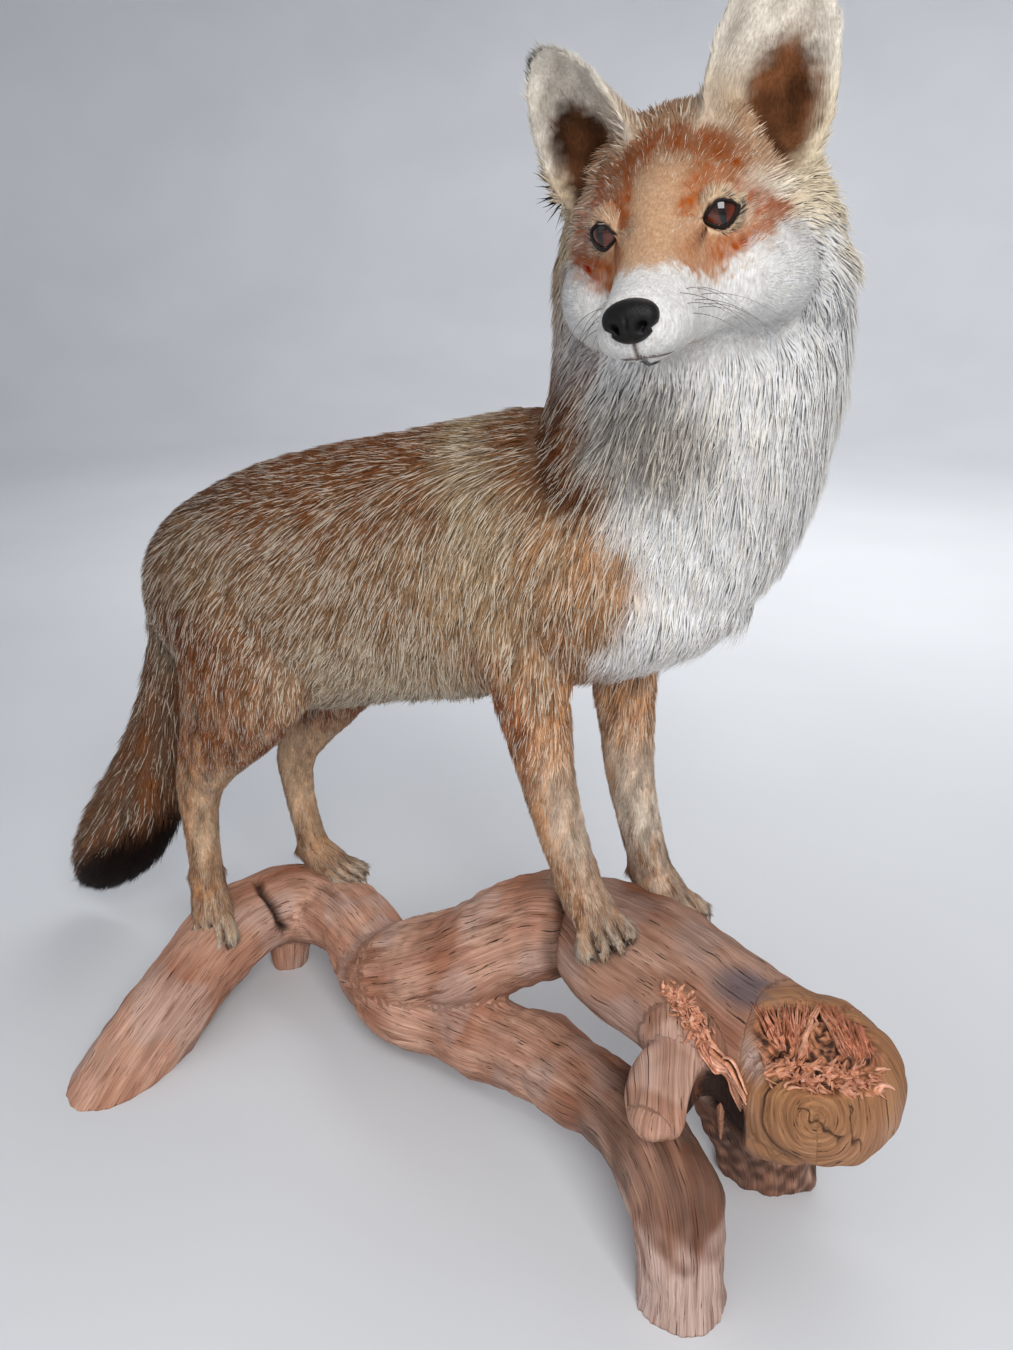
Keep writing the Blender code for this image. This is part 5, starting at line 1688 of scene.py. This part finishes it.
# On that face, in its right and up sizes: pleats from feet to tops, folded ribbons, ...
FAN = (((0.036, 0.003), (0.054, -0.001)), ((0.022, 0.034), (0.053, 0.031)))
SLANTED = (((-0.003, 0.01), (0.013, 0.003)), ((-0.013, 0.029), (0.021, 0.033)))
RIBBONS = (((-0.0464, 0.0059), (-0.0374, -0.007), (-0.0306, -0.01), (-0.0226, -0.0285)),
           ((-0.0437, 0.0178), (-0.0336, 0.003), (-0.0253, -0.0022), (-0.019, -0.019)))
CRUMBLED = [(-0.0621, 0.0372), (-0.0537, 0.0262), (-0.0438, 0.0138)]
LEDGE = [(-0.0125, -0.019), (0.004, -0.0185), (0.027, -0.017), (0.05, -0.013)]
RINGS_MIDDLE = (0.017, -0.0295)                 # of the knob's growth rings
KNOB_CRACKS = ([(0.035, -0.023), (0.0365, -0.035), (0.041, -0.046)],
               [(0.008, -0.025), (0.016, -0.031), (0.029, -0.042)])
SUNK_HOLLOW = ((0.226, -0.076, 0.102), (0.014, 0.026, 0.026))      # dark hollow by the lobe
KNUCKLE_SLIT = [(-0.209, -0.004, 0.0878), (-0.1958, -0.0117, 0.0874), (-0.1835, -0.0151, 0.0804),
                (-0.1772, -0.0168, 0.0727), (-0.1739, -0.0177, 0.0645), (-0.171, -0.014, 0.055)]


def torn_place(points):
    """Points in the torn face's own right, up and outward sizes."""
    return (points - TORN_MIDDLE) @ np.array([TORN_RIGHT, TORN_UP, TORN_OUT]).T


def torn_share(points):
    """1 inside the torn face, falling to 0 at its rim."""
    right, up, out = torn_place(points).T
    reach = np.hypot((right - 0.021) / 0.037, (up - 0.008 + 0.1 * (right - 0.02)) / 0.027)
    return (1 - ease(0.8, 1.04, reach)) * ease(-0.04, -0.02, out)


def in_lump(points, lump, near=1.12, far=1.32):
    """1 in and on a rounded lump of the root, falling to 0 a little outside it."""
    reach = np.linalg.norm((points - lump[0]) / np.array(lump[1]), axis=1)
    return 1 - ease(near, far, reach)


def knob_lines(points):
    """Growth rings and dark cracks on the knob, each from 0 to 1."""
    place = torn_place(points)[:, :2]
    knob = in_lump(points, KNOB) * (1 - torn_share(points)) * ease(0.215, 0.25, points[:, 0])
    offset = (place - RINGS_MIDDLE) * (0.85, 1.0)
    reach = np.linalg.norm(offset, axis=1)
    rings = (0.5 + 0.5 * np.sin(reach * 2 * math.pi / 0.0042 + waves(points, 0.02, 71)))
    rings = rings * knob * (1 - ease(0.02, 0.034, reach))
    curl = np.exp(-((reach - 0.0245) / 0.0009) ** 2) * ease(0.1, 0.6, -offset[:, 0] / reach)
    bent = place + 0.0012 * waves(points, 0.009, 72)[:, None]
    cracks = np.max([ridge(bent, line, 0.0007) for line in KNOB_CRACKS], axis=0)
    return rings, np.maximum(cracks, 0.9 * curl) * knob


def branch_tint(tone, points, grain):
    """Dark seam and slit of the branch, as painted shade, and its stained end."""
    # painted shade: the seam where branch meets root and the sunk slit of the knuckle are darkened
    seam = (1 - ease(0.0, 0.012, np.abs(points[:, 0] - 0.1))) * ease(0.1, 0.13, points[:, 2])
    tone = toned(tone, "wood_dark", 0.7 * seam)
    tone = mixed(tone, colour("wood_dark") * 0.5, ridge(points, KNUCKLE_SLIT, 0.0034))
    tone = tone * (1 - 0.12 * ease(0.04, 0.1, points[:, 0]))[:, None]
    low = ease(0.11, 0.16, points[:, 0]) * (1 - ease(-0.06, -0.04, points[:, 1]))
    foot = 1 - ease(0.04, 0.062, points[:, 2] + 0.004 * waves(points, 0.02, 56))
    tone = mixed(tone, colour("wood_grey") * 1.1, 0.85 * low * foot)
    stain = np.clip(0.8 + 0.2 * waves(grain * (0.25, 1, 1), 0.018, 55), 0, 1)
    return toned(tone, "wood_dark", (0.72 - 0.66 * foot) * low * stain)


def burl_places(points):
    """Places on the torn face, and how far in it, in its crumbled rim and in bark they are."""
    place = torn_place(points)
    crumbled = ridge(place[:, :2], CRUMBLED, 0.006) * ease(-0.05, -0.03, place[:, 2])
    bark = (1 - ease(0.052, 0.078, points[:, 2])) * (1 - in_lump(points, LOBE))
    return place[:, :2], torn_share(points), crumbled, bark


def burl_tint(tone, points):
    """Knob, lobe, dark sunk hollow, bark and torn face of the root."""
    place, torn, crumbled, bark = burl_places(points)
    tone = tone * (1 - 0.34 * ease(0.1, 0.14, points[:, 2]))[:, None]
    blue = blob(points, (0.228, -0.034, 0.162), (0.034, 0.024, 0.02))
    tone = toned(tone, "wood_blue", 0.8 * blue)
    knob = in_lump(points, KNOB) * ease(0.215, 0.255, points[:, 0]
                                        + 0.006 * waves(points, 0.014, 73))
    tone = toned(tone, "knob", 0.9 * knob)
    lobe = in_lump(points, LOBE)
    tone = mixed(tone, blend("wood_grey", "wood_pale", 0.5), 0.8 * lobe)
    tone = mixed(tone, colour("wood_bare") * 0.6,
                 0.85 * blob(points, (0.205, -0.106, 0.108), (0.011, 0.013, 0.022)))
    tone = mixed(tone, colour("knob") * np.array([0.72, 0.85, 0.8]),
                 0.7 * lobe * (1 - ease(0.08, 0.098, points[:, 2])))
    facet = blob(np.c_[place, place[:, 0] * 0], (-0.0145, 0.001, 0.0), (0.01, 0.018, 1.0))
    tone = mixed(tone, colour("wood_grey") * 0.8, 0.8 * facet)
    patchy = np.clip(0.8 + 0.25 * waves(points, 0.012, 57), 0, 1)
    tone = mixed(tone, colour("wood_dark") * 1.2, 0.85 * bark * patchy)
    # the sunk hollow by the lobe is coloured near black
    tone = mixed(tone, colour("wood_dark") * 0.45, in_lump(points, SUNK_HOLLOW, 1.0, 1.5))
    heart = blend("wood_dark", "wood_bare",
                  np.clip(0.5 + 0.4 * waves(points, 0.0045, 58), 0, 1))
    tone = mixed(tone, heart, np.maximum(torn, crumbled))
    tone = mixed(tone, colour("knob") * 1.15, 0.9 * ridge(place, LEDGE, 0.0035) * knob)
    rings, cracks = knob_lines(points)
    tone = tone * (1 - 0.22 * rings)[:, None]
    return mixed(tone, colour("wood_dark") * 0.6, cracks)


def wood_tint(points, normals, grain):
    """Broad colour of the wood: weathered pinkish tan, redder, greyer or stained in places, and
    painted shade on faces turned down.
    """
    streak = waves(grain * (0.2, 1, 1), 0.012, 51)
    tone = blend("wood_pale", "wood_red",
                 np.clip(0.32 + 0.14 * streak + 0.22 * waves(points, 0.075, 52), 0, 1))
    tone = toned(tone, "wood_grey", 0.5 * ease(0.3, 1.3, waves(points, 0.06, 54)))
    stain = ease(0.9, 1.7, waves(grain * (0.25, 1, 1), 0.02, 53))
    # painted shade: faces turned down are darkened
    under = ease(0.2, 0.9, -normals[:, 2])
    return toned(tone, "wood_dark", np.clip(0.2 * stain + 0.4 * under, 0, 1))


def burl_relief(points):
    """Height of what stands out of the root or is sunk into it."""
    place, torn, crumbled, bark = burl_places(points)
    relief = -0.005 * torn + 0.0016 * torn * waves(points, 0.0055, 64)
    relief += crumbled * (0.002 + 0.0016 * waves(points, 0.005, 65))
    relief += 0.0018 * ridge(place, LEDGE, 0.0035) * in_lump(points, KNOB)
    relief -= 0.007 * in_lump(points, SUNK_HOLLOW, 1.0, 1.5)
    relief += 0.0009 * bark * waves(points * (1, 1, 0.6), 0.016, 66)
    rings, cracks = knob_lines(points)
    return relief - 0.00035 * rings - 0.0013 * cracks


def wood_material(name):
    """Driftwood: raw weathered wood, grain open along the limb, matt, cracks dark and dry."""
    made, tree = new_material(name, Roughness=0.72, Specular_IOR_Level=0.25)
    tint, grain = (add_node(tree, "ShaderNodeAttribute", {"attribute_name": key}).outputs
                   for key in ("wood_tint", "wood_grain"))

    def stretched(across_mm, along_mm, detail):
        """A noise drawn out along the grain."""
        spread = add_node(tree, "ShaderNodeVectorMath", {"operation": "MULTIPLY"}, {
            0: grain["Vector"], 1: (1000 / along_mm, 1000 / across_mm, 40.0)})
        noise = add_node(tree, "ShaderNodeTexNoise", links={
            "Vector": spread.outputs[0], "Scale": 1.0, "Detail": detail, "Roughness": 0.6})
        return noise.outputs["Fac"]

    def tones(height, *stops):
        """Colours spread over a noise."""
        return add_node(tree, "ShaderNodeValToRGB", links={"Fac": height},
                        stops=stops).outputs["Color"]

    # grain lines about 1 mm apart
    fine = stretched(1.2, 42.0, 5.0)
    shade = tones(fine, (0.34, (0.66, 0.6, 0.56, 1)), (0.6, (1.07, 1.06, 1.05, 1)))
    ribs = stretched(3.0, 90.0, 4.0)
    wash = tones(stretched(11.0, 80.0, 6.0), (0.4, (0.84, 0.77, 0.72, 1)),
                 (0.52, (1.0, 0.97, 0.94, 1)), (0.62, (1.08, 1.08, 1.08, 1)))
    # remains of red bark, with ragged edges
    left = tones(stretched(10.0, 75.0, 9.0), (0.57, BLACK), (0.66, (0.7, 0.7, 0.7, 1)))
    # short dark checks
    split = tones(stretched(1.1, 22.0, 3.0), (0.63, BLACK), (0.66, WHITE))
    bark = layered(tree, rgba("wood_red", 0.62), ("MULTIPLY", 1.0, shade))
    tone = layered(tree, tint["Color"], ("MULTIPLY", 1.0, shade), ("MULTIPLY", 0.9, wash),
                   ("MIX", left, bark), ("MIX", split, rgba("wood_dark", 0.5)))
    height = layered(tree, fine, ("MIX", 0.3, ribs), ("MIX", split, BLACK))
    return dressed(made, tone, height, 0.8, 0.0018)


def level_on_floor(mesh):
    """Cut a mesh flat at the floor and close it."""
    def cut_level(shape):
        cut = bmesh.ops.bisect_plane(shape, geom=shape.verts[:] + shape.edges[:] + shape.faces[:],
                                     plane_co=(0, 0, 0), plane_no=(0, 0, -1), clear_outer=True)
        rim = [part for part in cut["geom_cut"] if isinstance(part, bmesh.types.BMEdge)]
        bmesh.ops.triangle_fill(shape, edges=rim, use_beauty=True)
        bmesh.ops.triangulate(shape, faces=shape.faces)

    reshaped(mesh, cut_level)


def wood_piece(name, limbs, lumps, node, material):
    """One piece of driftwood with its grain running along the limbs."""
    lines = [Part(*path_rings(rows, 8)) for rows in limbs]
    for centre, radii in lumps:
        rings = ball_rings(centre, radii, np.array([(0.0, 0, 1), (1, 0, 0), (0, 1, 0)]), 24)
        lines.append(Part(rings, rings.mean(1), (0, 0, 1), (1, 0, 0)))
    obj = fused(name, [line.shells[0] for line in lines], WOOD_VOXEL, 5)
    mesh = obj.data
    is_root = bool(lumps)
    if is_root:                               # finer where the front face is torn and cracked
        for _ in range(2):
            refined(mesh, lambda points: (torn_place(points)[:, 2] > -0.04)
                    & (np.abs(torn_place(points)[:, 1] + 0.01) < 0.05)
                    & (torn_place(points)[:, 0] > -0.068))
    else:                                     # and where the knuckle is folded
        for _ in range(2):
            refined(mesh, lambda points: ridge(points, KNUCKLE_SLIT, 0.01) > 0.3)
    triangulated(mesh)
    points, normals = read_points(mesh), read_points(mesh, "normal")
    found = [nearest(points, line.cloud) for line in lines]
    reaches = np.array([reach for reach, _ in found])
    best = reaches.argmin(0)
    places = [line.place(points, index) for line, (_, index) in zip(lines, found)]
    rows = np.arange(len(points))
    along = np.array([place[0] for place in places])[best, rows]
    around = np.array([place[1] for place in places])[best, rows] * GRAIN_RADIUS
    if is_root:                               # rings on the knob, upright grain on the lobe
        offset = torn_place(points)[:, :2] - RINGS_MIDDLE
        knob = in_lump(points, KNOB) > 0.5
        lobe = in_lump(points, LOBE, 1.3, 1.8) > 0.5
        along = np.select([knob, lobe], [0.03 * np.arctan2(*offset.T), points[:, 2]], along)
        around = np.select([knob, lobe], [np.linalg.norm(offset, axis=1),
                                          points @ TORN_RIGHT], around)
    grain = np.stack([along, around, best * 0.31 + 3.7 * is_root], 1)
    ordered = np.sort(reaches, 0)
    clear = ease(0.002, 0.012, ordered[1] - ordered[0])   # 0 where two limbs run together
    relief = 0.0012 * waves(points, 0.07, 61) + 0.0004 * waves(points, 0.022, 62)
    flutes = np.abs(waves(grain * (0.12, 1, 1), 0.012, 63)) - 0.6
    if is_root:
        clear = clear * (1 - in_lump(points, KNOB)) * (1 - in_lump(points, LOBE))
    relief += 0.0007 * flutes * clear
    tint = wood_tint(points, normals, grain)
    if is_root:
        relief += burl_relief(points)
        tint = burl_tint(tint, points)
    else:
        relief -= 0.0075 * ridge(points, KNUCKLE_SLIT, 0.0038)
        tint = branch_tint(tint, points, grain)
    write_points(mesh, points + normals * relief[:, None])
    write_attribute(mesh, "wood_tint", "FLOAT_COLOR", np.clip(tint, 0, 1))
    write_attribute(mesh, "wood_grain", "FLOAT_VECTOR", grain)
    level_on_floor(mesh)
    finish_piece(obj, material, [node])
    return obj


def build_driftwood():
    """The forked branch and the burl root."""
    material = wood_material("weathered_driftwood")
    wood_piece("driftwood_limbs", BRANCH_LIMBS, [], "driftwood_branch", material)
    return wood_piece("driftwood_burl", ROOT_LIMBS, [KNOB, LOBE], "driftwood_root", material)


def on_torn_face(surface, places):
    """Points of the burl's surface seen from outside at places on the torn face, and normals."""
    hits, ways = [], []
    towards = Vector(-TORN_OUT)
    for right, up in places:
        start = TORN_MIDDLE + TORN_RIGHT * right + TORN_UP * up + TORN_OUT * 0.08 + TO_PART_FRAME
        found, hit, normal, _ = surface.ray_cast(Vector(start), towards)
        hits.append(np.array(hit) - TO_PART_FRAME if found
                    else TORN_MIDDLE + TORN_RIGHT * right + TORN_UP * up)
        ways.append(np.array(normal) if found else TORN_OUT)
    return np.array(hits), np.array(ways)


def splinter(burl, line, tall, thick, stand):
    """A flat splinter on edge along a line of the torn face, and how far out its points are."""
    hits, ways = on_torn_face(burl, line)
    if len(line) < 12:                        # a short splinter is stiff
        span = np.linspace(0, 1, len(line))[:, None]
        hits = mixed(hits, hits[0] * (1 - span) + hits[-1] * span, np.full(len(line), 0.8))
        ways = unit(ways + 2 * TORN_OUT)
    side = unit(np.cross(unit(np.gradient(hits, axis=0)), ways))
    share = np.linspace(0, 1, len(line))
    full = (ease(-0.02, 0.12, share) * (1.0 - 0.75 * share ** 1.6))[:, None]
    centre = hits + ways * (stand * np.sin(math.pi * share))[:, None]
    turn = turns(4)
    rings = (centre[:, None] + (ways * tall * full)[:, None] * np.cos(turn)[None, :, None]
             + (side * thick * full)[:, None] * np.sin(turn)[None, :, None])
    return shell(rings), np.r_[np.tile(0.5 + 0.5 * np.cos(turn), len(line)), 0.5, 0.5]


def fibre_material():
    """Torn wood: raw fibre, with painted shade dark toward the gaps and painted light pale along
    the broken edges.
    """
    made, tree = new_material("torn_wood_fibre", Roughness=0.75, Specular_IOR_Level=0.2)
    outer = add_node(tree, "ShaderNodeAttribute", {"attribute_name": "outer_edge"})
    place = add_node(tree, "ShaderNodeTexCoord").outputs["Object"]
    # painted shade and light: dark red where a splinter meets the gaps, brightened pale along its
    # outer edge
    edge = add_node(tree, "ShaderNodeValToRGB", links={"Fac": outer.outputs["Fac"]}, stops=[
        (0.1, rgba("wood_red", 0.36)), (0.45, rgba("wood_bare", 1.05)),
        (1.0, rgba("wood_pale", 1.45))])
    shade = noise_tones(tree, place, 210.0, 4.0, [
        (0.3, (0.55, 0.45, 0.4, 1)), (0.7, (1.1, 1.1, 1.1, 1))], 0.65)
    return dressed(made, layered(tree, edge.outputs["Color"], ("MULTIPLY", 1.0, shade)))


def build_fibres(burl):
    """Torn fibres on the broken face of the burl: pleats, slanted splinters, ribbons, crumbs."""
    draw = np.random.default_rng(77)
    size = bpy.context.scene.fox_sizes.fibre_radius
    made = []

    def between(pair, share):
        return np.array(pair[0]) * (1 - share) + np.array(pair[1]) * share

    def straight(foot, top, bend):
        share = np.linspace(0, 1, 9)[:, None]
        sway = np.array([-(top - foot)[1], (top - foot)[0]])
        return foot + (top - foot) * share + sway * bend * np.sin(math.pi * share)

    for (feet, tops), count, scatter in ((FAN, 34, 0.0008), (SLANTED, 34, 0.0018)):
        for share in np.linspace(0, 1, count):
            foot = between(feet, share) + draw.normal(0, scatter, 2)
            top = between(tops, share) + draw.normal(0, scatter, 2)
            made.append(splinter(burl, straight(foot, top, draw.normal(0, 0.04)),
                                 draw.uniform(0.0034, 0.0052), size * draw.uniform(0.7, 1.3),
                                 draw.uniform(0.001, 0.003)))
    for slide in (-0.0012, 0.0, 0.0012):      # one thick strand across both
        made.append(splinter(burl, straight(np.array([0.0095 + slide, 0.0005]),
                                            np.array([0.0255 + slide, 0.032]), 0.03),
                             0.003, size * 1.6, 0.006))
    for share in np.linspace(0, 1, 10):       # folded ribbons hanging at the left
        line = smooth_rows(np.array(RIBBONS[0]) * (1 - share) + np.array(RIBBONS[1]) * share, 5)
        made.append(splinter(burl, line + 0.0006 * draw.normal(size=2), 0.0036, size * 1.1,
                             draw.uniform(0.001, 0.003)))
    for _ in range(150):                      # tangle along the foot of the pleats
        foot = np.array([draw.uniform(-0.01, 0.052), draw.uniform(-0.016, -0.002)])
        turn, reach = draw.normal(0.4, 0.8), draw.uniform(0.005, 0.012)
        made.append(splinter(burl, straight(foot, foot + reach * np.array(
            [math.cos(turn), 0.7 * math.sin(turn)]), draw.normal(0, 0.25)),
            draw.uniform(0.0012, 0.0036), size * draw.uniform(0.5, 1.5),
            draw.uniform(0.0, 0.003)))
    ridge_line = smooth_rows(np.array(CRUMBLED), 12)
    for _ in range(180):                      # crumbs of the ridge above the lobe
        foot = ridge_line[draw.integers(len(ridge_line))] + draw.normal(0, 0.0028, 2)
        turn, reach = draw.uniform(0, 2 * math.pi), draw.uniform(0.0025, 0.007)
        made.append(splinter(burl, straight(foot, foot + reach * np.array(
            [math.cos(turn), math.sin(turn)]), draw.normal(0, 0.2)),
            draw.uniform(0.0008, 0.0022), size * draw.uniform(0.5, 1.4),
            draw.uniform(0.0, 0.003)))
    made.append(splinter(burl, straight(np.array([-0.034, -0.025]), np.array([-0.0345, -0.048]),
                                        0.02), 0.003, 0.0026, 0.001))      # stick in the hollow
    mesh = make_mesh("torn_fibres", *joined([shape for shape, _ in made]))
    write_attribute(mesh, "outer_edge", "FLOAT", np.concatenate(
        [outer * draw.uniform(0.65, 1.1) for _, outer in made]))
    finish_piece(make_object("torn_fibres", mesh), fibre_material())
    mesh.shade_flat()                         # splinters have sharp edges


# ---- floor, light, camera ---------------------------------------------------
FLOOR_FLAT = 3.4             # radius of the level floor, and of the curve beyond it
FLOOR_CURVE = 2.2
FLOOR_SLOPE = math.radians(62)       # where the curve ends in a straight flaring wall
WALL_REACH = 8.0
FLOOR_POINTS = 96            # points round the floor
CAMERA_LENS = 27.04          # millimetres, for a sensor 36 mm wide
CAMERA_PLACE = (0.354, -0.55, 0.557)        # in the modelling frame
CAMERA_TURN = math.radians(30.0)     # to the left of straight ahead
CAMERA_DIP = math.radians(20.5)      # below the level


def area_light(name, place, aim, size, power, tint):
    """A soft square light."""
    data = bpy.data.lights.new(name, "AREA")
    data.size = size
    data.energy = power
    data.color = tint
    obj = bpy.data.objects.new(name, data)
    bpy.context.scene.collection.objects.link(obj)
    obj.location = place
    obj.rotation_euler = (Vector(aim) - Vector(place)).to_track_quat("-Z", "Y").to_euler()


def build_stage():
    """Plain pale floor, soft light and the camera."""
    scene = bpy.context.scene
    # matt paint, barely uneven
    made = mottled_material("painted_studio_floor", "floor", 2.0, 2.0, 0.97, 1.03, Roughness=0.8)
    share = np.linspace(0, FLOOR_SLOPE, 17)[1:]          # the floor curves up far away
    radii = np.r_[0.9, FLOOR_FLAT, FLOOR_FLAT + FLOOR_CURVE * np.sin(share)]
    heights = np.r_[0.0, 0.0, FLOOR_CURVE * (1 - np.cos(share))]
    radii = np.r_[radii, radii[-1] + WALL_REACH * math.cos(FLOOR_SLOPE)]
    heights = np.r_[heights, heights[-1] + WALL_REACH * math.sin(FLOOR_SLOPE)]
    turn = turns(FLOOR_POINTS)
    verts = [(radius * math.cos(way), radius * math.sin(way), height)
             for radius, height in zip(radii, heights) for way in turn]
    faces = [tuple(range(FLOOR_POINTS))]
    for ring in range(len(radii) - 1):
        near, far = ring * FLOOR_POINTS, (ring + 1) * FLOOR_POINTS
        for step in range(FLOOR_POINTS):
            after = (step + 1) % FLOOR_POINTS
            faces.append((near + step, far + step, far + after, near + after))
    mesh = bpy.data.meshes.new("studio_floor")
    mesh.from_pydata(verts, [], faces)
    shade_smooth(mesh)
    mesh.materials.append(made)
    make_object("studio_floor", mesh)

    camera = bpy.data.cameras.new("camera")
    camera.lens = CAMERA_LENS
    camera.sensor_width = 36.0
    camera.clip_start = 0.01
    obj = bpy.data.objects.new("camera", camera)
    scene.collection.objects.link(obj)
    obj.location = Vector(CAMERA_PLACE) + Vector(TO_PART_FRAME)
    level = math.cos(CAMERA_DIP)
    ahead = Vector((-math.sin(CAMERA_TURN) * level, math.cos(CAMERA_TURN) * level,
                    -math.sin(CAMERA_DIP)))
    obj.rotation_euler = ahead.to_track_quat("-Z", "Y").to_euler()
    scene.camera = obj

    area_light("window_light", (1.05, -1.0, 1.25), (0.15, -0.03, 0.45), 0.8, 21.0,
               (1.0, 0.99, 0.98))
    area_light("fill_light", (-1.5, -1.5, 1.2), (0.0, 0.0, 0.35), 1.8, 4.0, (0.95, 0.97, 1.0))
    area_light("back_light", (-0.2, 1.6, 1.8), (0.0, 0.0, 0.4), 1.4, 7.0, (1.0, 1.0, 1.0))
    for name, way in (("far", 1), ("near", -1)):         # the curved wall behind and before
        area_light(f"wall_light_{name}", (0.0, 1.6 * way, 2.6), (0.0, 4.6 * way, 0.5), 2.4, 80.0,
                   (1.0, 1.0, 1.0))
    world = bpy.data.worlds.new("studio")
    world.use_nodes = True
    background = world.node_tree.nodes["Background"]
    background.inputs["Color"].default_value = (0.9, 0.93, 1.0, 1)
    background.inputs["Strength"].default_value = 0.38
    scene.world = world
    scene.view_settings.view_transform = "Standard"


# ---- operators and panel ----------------------------------------------------
class FOX_OT_skin(bpy.types.Operator):
    """Build the skin with its markings and lids"""
    bl_idname = "fox.skin"
    bl_label = "Skin"

    def execute(self, context):
        build_skin()
        return {"FINISHED"}


class FOX_OT_coat(bpy.types.Operator):
    """Lay the locks of fur over the skin"""
    bl_idname = "fox.coat"
    bl_label = "Coat"

    def execute(self, context):
        build_coat(bpy.data.objects["fox_skin"])
        return {"FINISHED"}


class FOX_OT_eyes(bpy.types.Operator):
    """Build the glass eyes in their lids"""
    bl_idname = "fox.eyes"
    bl_label = "Eyes"

    def execute(self, context):
        build_eyes()
        return {"FINISHED"}


class FOX_OT_nose(bpy.types.Operator):
    """Build the nose pad"""
    bl_idname = "fox.nose"
    bl_label = "Nose"

    def execute(self, context):
        build_nose()
        return {"FINISHED"}


class FOX_OT_claws(bpy.types.Operator):
    """Build the claws"""
    bl_idname = "fox.claws"
    bl_label = "Claws"

    def execute(self, context):
        build_claws()
        return {"FINISHED"}


class FOX_OT_whiskers(bpy.types.Operator):
    """Build the whiskers"""
    bl_idname = "fox.whiskers"
    bl_label = "Whiskers"

    def execute(self, context):
        build_whiskers()
        return {"FINISHED"}


class FOX_OT_driftwood(bpy.types.Operator):
    """Build the driftwood and its torn fibres"""
    bl_idname = "fox.driftwood"
    bl_label = "Driftwood"

    def execute(self, context):
        burl = build_driftwood()
        build_fibres(burl)
        return {"FINISHED"}


class FOX_OT_stage(bpy.types.Operator):
    """Set the floor, the lights and the camera"""
    bl_idname = "fox.stage"
    bl_label = "Stage"

    def execute(self, context):
        build_stage()
        return {"FINISHED"}


OPERATORS = (FOX_OT_stage, FOX_OT_skin, FOX_OT_coat, FOX_OT_eyes, FOX_OT_nose, FOX_OT_claws,
             FOX_OT_whiskers, FOX_OT_driftwood)


class FOX_PT_panel(bpy.types.Panel):
    """Buttons and sizes of the mounted fox"""
    bl_idname = "FOX_PT_panel"
    bl_label = "Mounted fox"
    bl_space_type = "VIEW_3D"
    bl_region_type = "UI"
    bl_category = "Fox"

    def draw(self, context):
        for operator in OPERATORS:
            self.layout.operator(operator.bl_idname)
        for group in (context.scene.fox_sizes, context.scene.fox_colours):
            for key in type(group).__annotations__:
                self.layout.prop(group, key)


CLASSES = (FoxColours, FoxSizes, *OPERATORS, FOX_PT_panel)


def register():
    """Add the panel, the operators and their settings."""
    for made in CLASSES:
        bpy.utils.register_class(made)
    bpy.types.Scene.fox_colours = PointerProperty(type=FoxColours)
    bpy.types.Scene.fox_sizes = PointerProperty(type=FoxSizes)


def unregister():
    """Remove what register added."""
    del bpy.types.Scene.fox_sizes
    del bpy.types.Scene.fox_colours
    for made in reversed(CLASSES):
        bpy.utils.unregister_class(made)


def main():
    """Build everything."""
    register()
    for operator in OPERATORS:
        group, name = operator.bl_idname.split(".")
        getattr(getattr(bpy.ops, group), name)()


if __name__ == "__main__":
    main()
